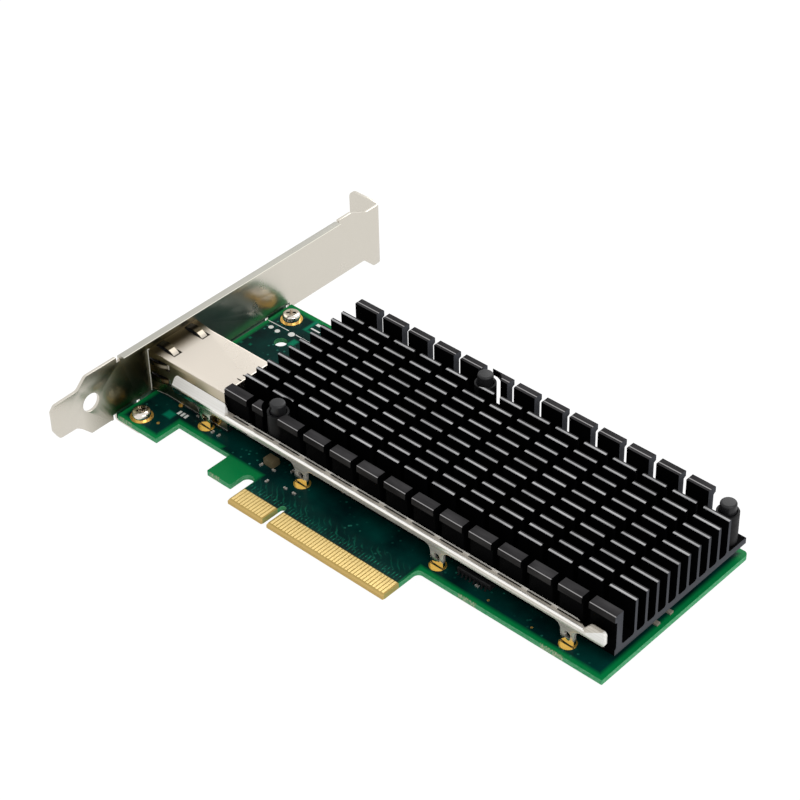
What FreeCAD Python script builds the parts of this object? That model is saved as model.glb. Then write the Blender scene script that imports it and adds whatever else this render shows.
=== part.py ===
import FreeCAD, Part
import math
import os

# A plug-in network card: a low board with a gold card edge, one shielded
# eight-way jack behind a full-height bracket, a wide finned heat sink held by
# three push pins, and a stiffening rail along the front edge of the board.
#
# Millimetres. +X runs along the card from the bracket to the far end, +Y from
# the card edge to the rear edge, +Z up from the component side of the board.
# The origin is the middle of the key notch, on the line of the contact tips.

# ---------------------------------------------------------------- dimensions
# circuit board
BOARD_THICK = 1.57
BOARD_LEFT = -58.3
BOARD_RIGHT = 95.4
BOARD_REAR = 68.8
BOARD_FRONT = 12.5
BOARD_CORNER_R = 1.3
SHARP_R = 0.25
LOBE_RIGHT = -43.5
LOBE_FRONT = 4.5
HOOK_LEFT = -24.6
HOOK_FRONT = 4.4
LATCH_SLOT_LEFT = -16.25
LATCH_SLOT_RIGHT = -12.6
LATCH_SLOT_END = 10.4
KEY_HALF = 0.95
KEY_DEPTH = 7.6
EDGE_RIGHT = 39.6
EDGE_FILLET_R = 1.5
TIP_BEVEL_RUN = 0.85
TIP_BEVEL_DEPTH = 0.3
BOARD_HOLE = (-48.3, 54.6)
BOARD_HOLE_R = 1.85
ROUND_SLACK = 0.01
FACE_SLACK = 0.01

# card edge contacts
CONTACT_PITCH = 1.0
CONTACT_WIDTH = 0.7
CONTACT_FOIL = 0.05
CONTACT_TIP = 0.9
CONTACT_END = 5.7
CONTACT_EDGE_GAP = 0.35
CONTACTS_BEFORE_KEY = 11
CONTACTS_AFTER_KEY = 38

# screws and the pads they stand on
SCREWS = ((-53.1, 8.4), (-53.4, 63.9))
SCREW_HEAD_R = 2.3
SCREW_HEAD_HIGH = 2.2
SCREW_SHANK_R = 1.25
SCREW_TIP = -4.0
SCREW_HOLE_R = 1.45
SCREW_DOME = 0.7
SCREW_CROWN = 0.1
SCREW_CROWN_R = 1.4
SCREW_PAD_R = 3.1
PAD_FOIL = 0.05

# bracket
SHEET = 0.9
BRACKET_OUT = -59.9
BRACKET_LOW = -1.6
BRACKET_HIGH = 16.82
FLANGE_REACH = 1.5
FLANGE_HIGH = 17.1
FLANGE_START = 8.0
FLANGE_END = 88.2
FLANGE_DROP = 2.4
BEND_OUT_R = 1.0
RELIEF_WIDE = 1.1
RELIEF_DEEP = 1.5
EAR_REACH = -49.9
EAR_WIDE = 7.0
EAR_ROOT_HIGH = 1.0
EAR_CORNER_R = 1.4
EAR_HOLE_R = 1.3
JOG_HIGH = 14.1
JOG_HIGH_START = 94.2
JOG_HIGH_END = 100.3
JOG_LOW = -5.4
JOG_LOW_START = 98.8
JOG_LOW_END = 102.7
JOG_R = 1.2
TAB_BACK = 106.2
TAB_END = -70.4
TAB_BEND_R = 1.6
TAB_CORNER_R = 2.2
TAB_NOTCH_X = -65.6
TAB_NOTCH_R = 2.2
TAB_NOTCH_DEEP = 5.3
# tongue that plugs into the foot of the case: (y, z, corner radius), first below and then above
TONGUE_FOOT = ((-3.7, -1.4, 0.6), (3.2, -1.4, 0.3))
TONGUE_TIP = (
    (-6.5, 13.9, 2.0), (-14.1, 13.7, 1.2), (-15.4, 12.2, 0.8), (-15.4, 6.0, 1.5),
    (-13.8, 3.0, 1.5), (-8.2, 2.9, 1.2), (-6.6, 1.7, 0.8),
)
TONGUE_SHOULDER = -3.5
TONGUE_SHOULDER_R = 2.0
TONGUE_HOLE = (-2.7, 8.1)
TONGUE_HOLE_R = 2.7
WINDOW_GAP = 0.3
WINDOW_CORNER_R = 0.8

# jack
JACK_FRONT = -59.7
SHELL_FRONT = -58.95
JACK_REAR = -31.1
JACK_SIDE_NEAR = 18.0
JACK_SIDE_FAR = 34.45
JACK_HIGH = 13.25
SHELL = 0.3
SHELL_FOLD_R = 0.27
JACK_FIT = 0.05
SHELL_SKIRT = 1.0
COLLAR_REAR = -53.6
COLLAR_NEAR_FLARE = 0.8
COLLAR_FAR_FLARE = 0.25
COLLAR_TOP_FLARE = 0.4
LOCK_SLOT = 0.4
LOCK_SLOT_LONG = 1.5
LOCK_TAB_NEAR = 24.4
LOCK_TAB_FAR = 26.4
LOCK_SLOT_END = 0.3
CORNER_TAB = 1.8
CORNER_TAB_LOW = 0.3
CORNER_TAB_HIGH = 1.6
FINGER_SLOT_FRONT = -58.4
FINGER_SLOT_REAR = -51.7
FINGER_SIDE_GAP = 0.35
FINGER_RISE = 1.0
FINGER_DIP = 0.45
FINGER_THICK = 0.21
FINGER_ROOT_LAP = 0.2
FINGER_END_GAP = 0.5
FINGER_ROOM_START = -56.4
TOP_FINGERS = ((20.0, 22.8), (30.0, 32.8))
SIDE_FINGERS = ((4.5, 6.8), (9.3, 11.5))
SHELL_PEG_X = (-48.6, -34.6)
SHELL_PEG_WIDE = 1.5
SHELL_PEG_TIP = -3.0
PEG_SLOT_GAP = 0.15
HOUSING_REAR = -44.0
PORT_WIDE = 11.9
PORT_LOW = 1.8
PORT_HIGH = 8.6
PORT_REAR = -46.3
LATCH_STEP_WIDE = 6.2
LATCH_STEP_HIGH = 10.1
LATCH_SLOT_WIDE = 3.4
LATCH_SLOT_HIGH = 11.4
POST_R = 1.6
POST_X = -51.6
POST_SPACING = 11.43
POST_TIP = -2.6
POST_GAP = 0.1
PORT_CONTACTS = 8
PORT_CONTACT_PITCH = 1.02
PORT_CONTACT_WIDE = 0.4
PORT_CONTACT_THICK = 0.3
PORT_CONTACT_TOP = 4.0
PORT_CONTACT_REACH = 9.5
PORT_CONTACT_FOOT = 2.0
PORT_CONTACT_BEND_R = 0.2
LAMP_WIDE = 3.0
LAMP_LOW = 9.8
LAMP_HIGH = 12.0
LAMP_DEEP = 3.4
LAMP_INSET = 1.0
PIN_SQUARE = 0.5
PIN_HOLE_R = 0.42
PIN_TIP = -3.0
PIN_ROWS_X = (-41.5, -38.96)
PINS_PER_ROW = 4
PIN_PITCH = 2.54

# heat sink
SINK_LEFT = -30.7
SINK_RIGHT = 94.4
SINK_RAIL_GAP = 1.5
SINK_FAR = 68.05
SINK_LOW = 2.8
SINK_TOP = 15.1
SINK_BASE = 1.9
THICK_FIN = 2.1
THIN_FIN = 0.9
THIN_FIN_FIRST = 25.2
THIN_FIN_PITCH = 3.92
THIN_FINS = 10
VALLEY_EDGE = 0.5
NOSE_OUT = 0.8
NOSE_TALL = 1.9
FOOT_OUT = 0.5
FOOT_TALL = 2.2
NOSE_EDGE = 0.35
CUT_FLOOR = 6.0
CUT_WIDE = 2.15
CUT_FIRST = -21.9
CUT_PITCH = 8.97
CUTS = 13
POCKET_GAP = 1.23
CORNER_CUT_REACH = 6.5

# push pins
PINS = ((-15.4, 21.6), (16.0, 64.4), (91.0, 64.8))
CAP_R = 2.1
CAP_TOP = 16.4
CAP_LOW = 13.1
CAP_EDGE = 0.35
STEM_R = 1.5
SLEEVE_R = 2.87
SLEEVE_BORE_R = 2.3
SLEEVE_RIM = 13.6
SLEEVE_GAP = 0.03
SLEEVE_FLOOR = 1.2
SLEEVE_LEG_R = 1.45
SLEEVE_LEG_GAP = 0.05
BARB_R = 2.05
BARB_TIP_R = 1.16
BARB_TOP = 1.0
BARB_TIP = -4.6
BARB_SPLIT = 0.6

# stiffening rail
RAIL_JACK_GAP = 0.1
RAIL_THICK = 0.9
RAIL_LOW = 5.7
RAIL_BEND_HIGH = 7.5
RAIL_BEND_R = 0.6
RAIL_HEAD_HIGH = 10.0
RAIL_HEAD_EDGE = 1.3
RAIL_END_HIGH = 10.0
RAIL_END_START = 88.5
RAIL_END_SLOPE = 2.5
RAIL_SINK_GAP = 0.2
RAIL_LEFT = -49.3
RAIL_STEP_START = -31.0
RAIL_STEP_END = -29.5
RAIL_STEP_R = 0.6
RAIL_RIGHT = 92.9
RAIL_CORNER_R = 1.0
LEGS_X = (-37.5, -3.0, 42.3, 82.2)
LEG_WIDE = 4.0
LEG_ROOT_R = 2.0
LEG_HOLE_R = 1.0
LEG_HOLE_Z = 3.0
LEG_TIP_WIDE = 2.3
LEG_TIP = -2.7
LEG_SLOT_GAP = 0.12
RAIL_PAD_R = 2.25

# controller and the parts around it
CONTROLLER = (0.3, 43.0)
CONTROLLER_SIDE = 25.0
CONTROLLER_THICK = 1.1
LID_SIDE = 21.0
LID_THICK = 1.3
LID_CORNER_R = 1.5
LID_EDGE = 0.3
PAD_SIDE = 19.0

# standing parts: centre x, centre y, length, width, height
TALL_CAPACITORS = (
    (-14.0, 16.9, 3.2, 2.6, 2.0), (30.5, 27.0, 3.2, 2.5, 2.0), (30.5, 33.0, 3.2, 2.5, 2.0),
)
INDUCTORS = ((52.0, 34.0, 6.6, 6.6, 2.6), (66.0, 34.0, 6.6, 6.6, 2.6), (80.0, 34.0, 4.2, 4.2, 2.0))
INDUCTOR_EDGE = 0.4
REGULATORS = ((59.0, 46.0, 5.0, 5.0, 0.9), (73.0, 46.0, 5.0, 5.0, 0.9), (84.0, 46.0, 3.0, 3.0, 0.9))
FLASH = (40.0, 45.0, 5.0, 4.0, 1.6)
FLASH_LEADS = 4
LEAD_PITCH = 1.27
LEAD_WIDE = 0.42
LEAD_REACH = 1.0
LEAD_THICK = 0.2
LEAD_ROOT = 0.75
LEAD_SHOULDER = 0.45
CHIP_STAND = 0.1
CHIP_EDGE = 0.2
FLAT_CHIP_EDGE = 0.12
CRYSTAL = (-22.5, 54.0, 5.0, 3.2, 1.1)
CRYSTAL_BASE = 0.385
CRYSTAL_RIM = 0.5
RAIL_CHIP = (52.4, 21.0, 10.3, 6.0, 1.6)
RAIL_CHIP_LEADS = 8
RAIL_CHIP_PITCH = 1.2
SMALL_SIZE = (2.0, 1.25, 0.6)
SMALL_TOP = (
    (93.2, 35.0), (93.2, 40.0), (-24.0, 30.0), (-24.0, 34.0), (-24.0, 38.0), (24.0, 58.0),
    (30.0, 58.0), (36.0, 58.0), (44.0, 24.0), (64.0, 24.0), (70.0, 24.0), (76.0, 24.0),
)
UNDER_COLUMNS = 4
UNDER_ROWS = 4
UNDER_PITCH = 3.6
END_CAP = 0.3
END_CAP_PROUD = 0.03


# ------------------------------------------------------------------- helpers
def vec(x, y, z):
    return FreeCAD.Vector(x, y, z)


def block(x0, x1, y0, y1, z0, z1):
    return Part.makeBox(x1 - x0, y1 - y0, z1 - z0, vec(x0, y0, z0))


def centred(x, y, length, width, z0, z1):
    return block(x - length / 2, x + length / 2, y - width / 2, y + width / 2, z0, z1)


def rod(x, y, z0, z1, radius):
    return Part.makeCylinder(radius, z1 - z0, vec(x, y, z0))


def on_plane(plane, a, b, level):
    if plane == "xy":
        return vec(a, b, level)
    if plane == "xz":
        return vec(a, level, b)
    return vec(level, a, b)


def along(plane, depth):
    if plane == "xy":
        return vec(0, 0, depth)
    if plane == "xz":
        return vec(0, depth, 0)
    return vec(depth, 0, 0)


def plate(corners, plane, level, depth):
    """Flat plate from (a, b) or (a, b, radius) corners, each rounded by its own radius."""
    count = len(corners)
    starts = []
    middles = []
    ends = []
    for i in range(count):
        here = vec(corners[i][0], corners[i][1], 0)
        radius = corners[i][2] if len(corners[i]) > 2 else 0
        back = vec(corners[i - 1][0], corners[i - 1][1], 0) - here
        ahead = vec(corners[(i + 1) % count][0], corners[(i + 1) % count][1], 0) - here
        back.normalize()
        ahead.normalize()
        if radius <= 0:
            starts.append(here)
            middles.append(None)
            ends.append(here)
            continue
        half = back.getAngle(ahead) / 2
        towards = back + ahead
        towards.normalize()
        reach = radius / math.tan(half)
        starts.append(here + back * reach)
        middles.append(here + towards * (radius / math.sin(half) - radius))
        ends.append(here + ahead * reach)
    edges = []
    for i in range(count):
        if middles[i] is not None:
            points = [on_plane(plane, p.x, p.y, level) for p in (starts[i], middles[i], ends[i])]
            edges.append(Part.Arc(*points).toShape())
        after = (i + 1) % count
        if (starts[after] - ends[i]).Length > 1e-6:
            first = on_plane(plane, ends[i].x, ends[i].y, level)
            last = on_plane(plane, starts[after].x, starts[after].y, level)
            edges.append(Part.makeLine(first, last))
    face = Part.Face(Part.Wire(edges))
    return face.extrude(along(plane, depth))


def joined(shapes):
    whole = shapes[0].fuse(shapes[1:])
    return whole.removeSplitter()


def write(name, shape):
    shape.exportStep("parts/" + name + ".step")


def write_group(name, solids):
    write(name, Part.makeCompound(solids))


def turned(profile, x, y):
    """Solid of revolution about the upright line through x, y from (radius, z) points."""
    points = [vec(x + r, y, z) for r, z in profile]
    wire = Part.makePolygon(points + points[:1])
    return Part.Face(wire).revolve(vec(x, y, 0), vec(0, 0, 1), 360)


BOARD_UNDER = -BOARD_THICK
BRACKET_IN = BRACKET_OUT + SHEET
JACK_MIDDLE = (JACK_SIDE_NEAR + JACK_SIDE_FAR) / 2
RAIL_NEAR = JACK_SIDE_NEAR - COLLAR_NEAR_FLARE - RAIL_JACK_GAP - RAIL_THICK
RAIL_MIDDLE = RAIL_NEAR + RAIL_THICK / 2
SINK_NEAR = RAIL_NEAR + RAIL_THICK + SINK_RAIL_GAP
SINK_BASE_TOP = SINK_LOW + SINK_BASE
HOUSING_NEAR = JACK_SIDE_NEAR + SHELL + JACK_FIT
HOUSING_FAR = JACK_SIDE_FAR - SHELL - JACK_FIT
HOUSING_TOP = JACK_HIGH - SHELL - JACK_FIT


# --------------------------------------------------------------------- board
def jack_pin_places():
    places = []
    for row, x in enumerate(PIN_ROWS_X):
        first = JACK_MIDDLE - PIN_PITCH * (PINS_PER_ROW - 1) / 2 + row * PIN_PITCH / 2 - PIN_PITCH / 4
        places += [(x, first + PIN_PITCH * i) for i in range(PINS_PER_ROW)]
    return places


def leg_slots(gap, z0, z1):
    return [centred(x, RAIL_MIDDLE, LEG_TIP_WIDE + 2 * gap, RAIL_THICK + 2 * gap, z0, z1) for x in LEGS_X]


def peg_blocks(gap, z0, z1):
    pegs = []
    for x in SHELL_PEG_X:
        for y in (JACK_SIDE_NEAR + SHELL / 2, JACK_SIDE_FAR - SHELL / 2):
            pegs.append(centred(x, y, SHELL_PEG_WIDE + 2 * gap, SHELL + 2 * gap, z0, z1))
    return pegs


def circuit_board():
    slot_r = (LATCH_SLOT_RIGHT - LATCH_SLOT_LEFT) / 2 - ROUND_SLACK
    key_r = KEY_HALF - ROUND_SLACK
    corners = [
        (BOARD_LEFT, BOARD_REAR, SHARP_R),
        (BOARD_RIGHT, BOARD_REAR, BOARD_CORNER_R),
        (BOARD_RIGHT, BOARD_FRONT, SHARP_R),
        (EDGE_RIGHT, BOARD_FRONT, EDGE_FILLET_R),
        (EDGE_RIGHT, 0),
        (KEY_HALF, 0),
        (KEY_HALF, KEY_DEPTH, key_r),
        (-KEY_HALF, KEY_DEPTH, key_r),
        (-KEY_HALF, 0),
        (LATCH_SLOT_RIGHT, 0),
        (LATCH_SLOT_RIGHT, LATCH_SLOT_END, slot_r),
        (LATCH_SLOT_LEFT, LATCH_SLOT_END, slot_r),
        (LATCH_SLOT_LEFT, HOOK_FRONT, SHARP_R),
        (HOOK_LEFT, HOOK_FRONT, SHARP_R),
        (HOOK_LEFT, BOARD_FRONT, SHARP_R),
        (LOBE_RIGHT, BOARD_FRONT, SHARP_R),
        (LOBE_RIGHT, LOBE_FRONT, SHARP_R),
        (BOARD_LEFT, LOBE_FRONT, SHARP_R),
    ]
    board = plate(corners, "xy", BOARD_UNDER, BOARD_THICK)
    cuts = []
    # the contact tips are bevelled on both faces
    for face, way in ((0, -1), (BOARD_UNDER, 1)):
        wedge = [(0, face), (TIP_BEVEL_RUN, face), (0, face + way * TIP_BEVEL_DEPTH)]
        cuts.append(plate(wedge, "yz", LATCH_SLOT_RIGHT - 1, EDGE_RIGHT - LATCH_SLOT_RIGHT + 2))
    top = 1
    low = BOARD_UNDER - 1
    cuts.append(rod(BOARD_HOLE[0], BOARD_HOLE[1], low, top, BOARD_HOLE_R))
    cuts += [rod(x, y, low, top, SCREW_HOLE_R) for x, y in SCREWS]
    cuts += [rod(x, y, low, top, SLEEVE_LEG_R + 2 * SLEEVE_LEG_GAP) for x, y in PINS]
    cuts += [rod(x, y, low, top, PIN_HOLE_R) for x, y in jack_pin_places()]
    for side in (-1, 1):
        cuts.append(rod(POST_X, JACK_MIDDLE + side * POST_SPACING / 2, low, top, POST_R + POST_GAP))
    cuts += leg_slots(LEG_SLOT_GAP, low, top)
    cuts += peg_blocks(PEG_SLOT_GAP, low, top)
    return board.cut(cuts)


def edge_contacts(z0):
    beside_key = KEY_HALF + CONTACT_EDGE_GAP + CONTACT_PITCH / 2
    before_first = -beside_key - (CONTACTS_BEFORE_KEY - 1) * CONTACT_PITCH
    rows = ((before_first, CONTACTS_BEFORE_KEY), (beside_key, CONTACTS_AFTER_KEY))
    strips = []
    for first, count in rows:
        for i in range(count):
            x = first + i * CONTACT_PITCH
            strips.append(block(x - CONTACT_WIDTH / 2, x + CONTACT_WIDTH / 2, CONTACT_TIP, CONTACT_END,
                                z0, z0 + CONTACT_FOIL))
    return strips


def screw_pads():
    return [rod(x, y, 0, PAD_FOIL, SCREW_PAD_R).cut(rod(x, y, -1, 1, SCREW_HOLE_R)) for x, y in SCREWS]


def rail_pads():
    slots = leg_slots(LEG_SLOT_GAP, -1, 1)
    under_jack = block(JACK_FRONT, JACK_REAR, JACK_SIDE_NEAR - JACK_FIT, JACK_SIDE_FAR, -1, 1)
    pads = []
    for x, slot in zip(LEGS_X, slots):
        pads.append(rod(x, RAIL_MIDDLE, 0, PAD_FOIL, RAIL_PAD_R).cut([slot, under_jack]))
    return pads


# ------------------------------------------------------------------- bracket
def bracket():
    ear_edges = [(y - EAR_WIDE / 2, y + EAR_WIDE / 2) for x, y in SCREWS]
    ear_gap_low = BRACKET_LOW + RELIEF_DEEP
    first, second = ear_edges
    bend_start = TAB_BACK - TAB_BEND_R
    flange_root = FLANGE_HIGH - FLANGE_DROP
    outline = [
        *TONGUE_FOOT, (TONGUE_FOOT[1][0], BRACKET_LOW),
        (first[0] - RELIEF_WIDE, BRACKET_LOW), (first[0] - RELIEF_WIDE, ear_gap_low),
        (first[0], ear_gap_low), (first[0], EAR_ROOT_HIGH),
        (first[1], EAR_ROOT_HIGH), (first[1], ear_gap_low),
        (first[1] + RELIEF_WIDE, ear_gap_low), (first[1] + RELIEF_WIDE, BRACKET_LOW),
        (second[0] - RELIEF_WIDE, BRACKET_LOW), (second[0] - RELIEF_WIDE, ear_gap_low),
        (second[0], ear_gap_low), (second[0], EAR_ROOT_HIGH),
        (second[1], EAR_ROOT_HIGH), (second[1], ear_gap_low),
        (second[1] + RELIEF_WIDE, ear_gap_low), (second[1] + RELIEF_WIDE, BRACKET_LOW),
        (JOG_LOW_START, BRACKET_LOW, JOG_R), (JOG_LOW_END, JOG_LOW, JOG_R), (bend_start, JOG_LOW),
        (bend_start, JOG_HIGH), (JOG_HIGH_END, JOG_HIGH, JOG_R), (JOG_HIGH_START, BRACKET_HIGH, JOG_R / 2),
        (FLANGE_END + RELIEF_WIDE, BRACKET_HIGH), (FLANGE_END + RELIEF_WIDE, BRACKET_HIGH - RELIEF_DEEP),
        (FLANGE_END, BRACKET_HIGH - RELIEF_DEEP), (FLANGE_END, flange_root),
        (FLANGE_START, flange_root), (FLANGE_START, BRACKET_HIGH - RELIEF_DEEP),
        (FLANGE_START - RELIEF_WIDE, BRACKET_HIGH - RELIEF_DEEP), (FLANGE_START - RELIEF_WIDE, BRACKET_HIGH),
        (TONGUE_SHOULDER, BRACKET_HIGH, TONGUE_SHOULDER_R), *TONGUE_TIP,
    ]
    body = plate(outline, "yz", BRACKET_OUT, SHEET)
    inner_r = BEND_OUT_R - SHEET
    flange_in = BRACKET_OUT + FLANGE_REACH
    flange = plate([
        (BRACKET_OUT, flange_root), (BRACKET_OUT, FLANGE_HIGH, BEND_OUT_R), (flange_in, FLANGE_HIGH),
        (flange_in, FLANGE_HIGH - SHEET), (BRACKET_IN, FLANGE_HIGH - SHEET, inner_r),
        (BRACKET_IN, flange_root),
    ], "xz", FLANGE_START, FLANGE_END - FLANGE_START)
    pieces = [body, flange]
    ear_top = BOARD_UNDER
    ear_low = BOARD_UNDER - SHEET
    for near, far in ear_edges:
        bent = plate([
            (BRACKET_OUT, EAR_ROOT_HIGH), (BRACKET_OUT, ear_low, BEND_OUT_R), (EAR_REACH, ear_low),
            (EAR_REACH, ear_top), (BRACKET_IN, ear_top, inner_r), (BRACKET_IN, EAR_ROOT_HIGH),
        ], "xz", near, far - near)
        plan = plate([
            (BRACKET_OUT, near), (EAR_REACH, near, EAR_CORNER_R),
            (EAR_REACH, far, EAR_CORNER_R), (BRACKET_OUT, far),
        ], "xy", ear_low - 1, EAR_ROOT_HIGH - ear_low + 1)
        pieces.append(bent.common(plan))
    # the tab turns outwards, away from the board, and has an open notch for the case screw
    tab = plate([
        (BRACKET_IN, bend_start), (BRACKET_IN, TAB_BACK, TAB_BEND_R), (TAB_END, TAB_BACK),
        (TAB_END, TAB_BACK - SHEET), (BRACKET_OUT, TAB_BACK - SHEET, TAB_BEND_R - SHEET),
        (BRACKET_OUT, bend_start),
    ], "xy", JOG_LOW, JOG_HIGH - JOG_LOW)
    notch_high = JOG_LOW + TAB_NOTCH_DEEP
    notch_left = TAB_NOTCH_X - TAB_NOTCH_R
    notch_right = TAB_NOTCH_X + TAB_NOTCH_R
    notch_r = TAB_NOTCH_R - ROUND_SLACK
    face = plate([
        (BRACKET_IN, JOG_LOW), (BRACKET_IN, JOG_HIGH),
        (TAB_END, JOG_HIGH, TAB_CORNER_R), (TAB_END, JOG_LOW, TAB_CORNER_R),
        (notch_left, JOG_LOW), (notch_left, notch_high, notch_r),
        (notch_right, notch_high, notch_r), (notch_right, JOG_LOW),
    ], "xz", bend_start, TAB_BEND_R)
    pieces.append(tab.common(face))
    whole = joined(pieces)
    window = plate([
        (HOUSING_NEAR - WINDOW_GAP, -WINDOW_GAP, WINDOW_CORNER_R),
        (HOUSING_FAR + WINDOW_GAP, -WINDOW_GAP, WINDOW_CORNER_R),
        (HOUSING_FAR + WINDOW_GAP, HOUSING_TOP + WINDOW_GAP, WINDOW_CORNER_R),
        (HOUSING_NEAR - WINDOW_GAP, HOUSING_TOP + WINDOW_GAP, WINDOW_CORNER_R),
    ], "yz", BRACKET_OUT - 1, SHEET + 1.1)
    hole_at = vec(BRACKET_OUT - 1, TONGUE_HOLE[0], TONGUE_HOLE[1])
    hole = Part.makeCylinder(TONGUE_HOLE_R, SHEET + 2, hole_at, vec(1, 0, 0))
    threaded = [rod(x, y, ear_low - 1, ear_top + 1, EAR_HOLE_R) for x, y in SCREWS]
    return whole.cut([window, hole] + threaded)


def bracket_screws():
    screws = []
    for x, y in SCREWS:
        top = PAD_FOIL + SCREW_HEAD_HIGH
        profile = [
            (0, SCREW_TIP), (SCREW_SHANK_R, SCREW_TIP), (SCREW_SHANK_R, PAD_FOIL), (SCREW_HEAD_R, PAD_FOIL),
            (SCREW_HEAD_R, top - SCREW_DOME), (SCREW_CROWN_R, top - SCREW_CROWN), (0, top),
        ]
        screws.append(turned(profile, x, y))
    return screws


# ---------------------------------------------------------------------- jack
def spring_finger(slot, side):
    """A curved contact finger rooted at the collar's front edge, its free end dipping back into the slot."""
    near = slot[0] + FINGER_SIDE_GAP
    far = slot[1] - FINGER_SIDE_GAP
    root = FINGER_SLOT_FRONT - FINGER_ROOT_LAP
    end = FINGER_SLOT_REAR - FINGER_END_GAP
    middle = (root + end) / 2
    flare = {"top": COLLAR_TOP_FLARE, "near": COLLAR_NEAR_FLARE, "far": COLLAR_FAR_FLARE}[side]
    start = flare * (COLLAR_REAR - root) / (COLLAR_REAR - SHELL_FRONT)
    thick = FINGER_THICK
    path = [(root, start), (middle, FINGER_RISE), (end, -FINGER_DIP)]
    outer = Part.Arc(*[vec(x, off, 0) for x, off in path]).toShape()
    inner = Part.Arc(*[vec(x, off - thick, 0) for x, off in path]).toShape()
    first = Part.makeLine(vec(root, start, 0), vec(root, start - thick, 0))
    last = Part.makeLine(vec(end, -FINGER_DIP, 0), vec(end, -FINGER_DIP - thick, 0))
    face = Part.Face(Part.Wire(Part.__sortEdges__([outer, last, inner, first])))
    finger = face.extrude(vec(0, 0, far - near))
    if side == "top":
        finger.rotate(vec(0, 0, 0), vec(1, 0, 0), 90)
        finger.translate(vec(0, far, JACK_HIGH))
        return finger
    if side == "near":
        finger = finger.mirror(vec(0, 0, 0), vec(0, 1, 0))
        finger.translate(vec(0, JACK_SIDE_NEAR, near))
        return finger
    finger.translate(vec(0, JACK_SIDE_FAR, near))
    return finger


def shell_section(x, flare, inset, low):
    """Upright rectangular wire across the jack at x, flared by a share of the collar's full flare."""
    near = JACK_SIDE_NEAR - COLLAR_NEAR_FLARE * flare + inset
    far = JACK_SIDE_FAR + COLLAR_FAR_FLARE * flare - inset
    high = JACK_HIGH + COLLAR_TOP_FLARE * flare - inset
    corners = [vec(x, near, low), vec(x, far, low), vec(x, far, high), vec(x, near, high)]
    return Part.makePolygon(corners + corners[:1])


def jack_shield():
    outer = block(COLLAR_REAR, JACK_REAR, JACK_SIDE_NEAR, JACK_SIDE_FAR, SHELL_SKIRT, JACK_HIGH)
    fold = []
    for edge in outer.Edges:
        box = edge.BoundBox
        if box.ZMin > JACK_HIGH - FACE_SLACK and box.XMax > JACK_REAR - FACE_SLACK:
            fold.append(edge)
    outer = outer.makeFillet(SHELL_FOLD_R, fold)
    hollow = block(COLLAR_REAR - 1, JACK_REAR - SHELL, JACK_SIDE_NEAR + SHELL, JACK_SIDE_FAR - SHELL, -1,
                   JACK_HIGH - SHELL)
    # the collar flares outwards to meet the inner face of the bracket
    front = SHELL_FRONT
    rear = COLLAR_REAR
    skirt = SHELL_SKIRT
    collar = Part.makeLoft([shell_section(front, 1, 0, skirt), shell_section(rear, 0, 0, skirt)], True)
    mouth = Part.makeLoft([shell_section(front, 1, SHELL, -1), shell_section(rear, 0, SHELL, -1)], True)
    shell = outer.cut(hollow).fuse(collar.cut(mouth))
    reach = 1 + COLLAR_NEAR_FLARE
    front_x = FINGER_SLOT_FRONT
    rear_x = FINGER_SLOT_REAR
    slots = []
    for near, far in TOP_FINGERS:
        slots.append(block(front_x, rear_x, near, far, JACK_HIGH - 1, JACK_HIGH + reach))
    for low, high in SIDE_FINGERS:
        slots.append(block(front_x, rear_x, JACK_SIDE_NEAR - reach, JACK_SIDE_NEAR + 1, low, high))
        slots.append(block(front_x, rear_x, JACK_SIDE_FAR - 1, JACK_SIDE_FAR + reach, low, high))
    # narrow slots on either side of the rear lock tab
    for y in (LOCK_TAB_NEAR, LOCK_TAB_FAR):
        slot_end = JACK_REAR - LOCK_SLOT_END
        slots.append(block(slot_end - LOCK_SLOT_LONG, slot_end, y - LOCK_SLOT / 2, y + LOCK_SLOT / 2,
                           JACK_HIGH - 1, JACK_HIGH + 1))
    shell = shell.cut(slots)
    pieces = [shell]
    pieces += [spring_finger(slot, "top") for slot in TOP_FINGERS]
    for slot in SIDE_FINGERS:
        pieces.append(spring_finger(slot, "near"))
        pieces.append(spring_finger(slot, "far"))
    pieces += peg_blocks(0, SHELL_PEG_TIP, SHELL_SKIRT + 0.5)
    # pointed tab at the lower front corner of each side
    for y in (JACK_SIDE_NEAR - COLLAR_NEAR_FLARE, JACK_SIDE_FAR + COLLAR_FAR_FLARE - SHELL):
        corner = [(SHELL_FRONT, CORNER_TAB_HIGH), (SHELL_FRONT, CORNER_TAB_LOW),
                  (SHELL_FRONT + CORNER_TAB, CORNER_TAB_HIGH)]
        pieces.append(plate(corner, "xz", y, SHELL))
    return joined(pieces)


def port_cavity():
    half_port = PORT_WIDE / 2
    half_step = LATCH_STEP_WIDE / 2
    half_slot = LATCH_SLOT_WIDE / 2
    y = JACK_MIDDLE
    outline = [
        (y - half_port, PORT_LOW), (y + half_port, PORT_LOW), (y + half_port, PORT_HIGH),
        (y + half_step, PORT_HIGH), (y + half_step, LATCH_STEP_HIGH), (y + half_slot, LATCH_STEP_HIGH),
        (y + half_slot, LATCH_SLOT_HIGH), (y - half_slot, LATCH_SLOT_HIGH), (y - half_slot, LATCH_STEP_HIGH),
        (y - half_step, LATCH_STEP_HIGH), (y - half_step, PORT_HIGH), (y - half_port, PORT_HIGH),
    ]
    return plate(outline, "yz", JACK_FRONT - 1, PORT_REAR - JACK_FRONT + 1)


def lamp_blocks(gap):
    lamps = []
    for near in (HOUSING_NEAR + LAMP_INSET, HOUSING_FAR - LAMP_INSET - LAMP_WIDE):
        lamps.append(block(JACK_FRONT, JACK_FRONT + LAMP_DEEP + gap, near - gap, near + LAMP_WIDE + gap,
                           LAMP_LOW - gap, LAMP_HIGH + gap))
    return lamps


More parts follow.
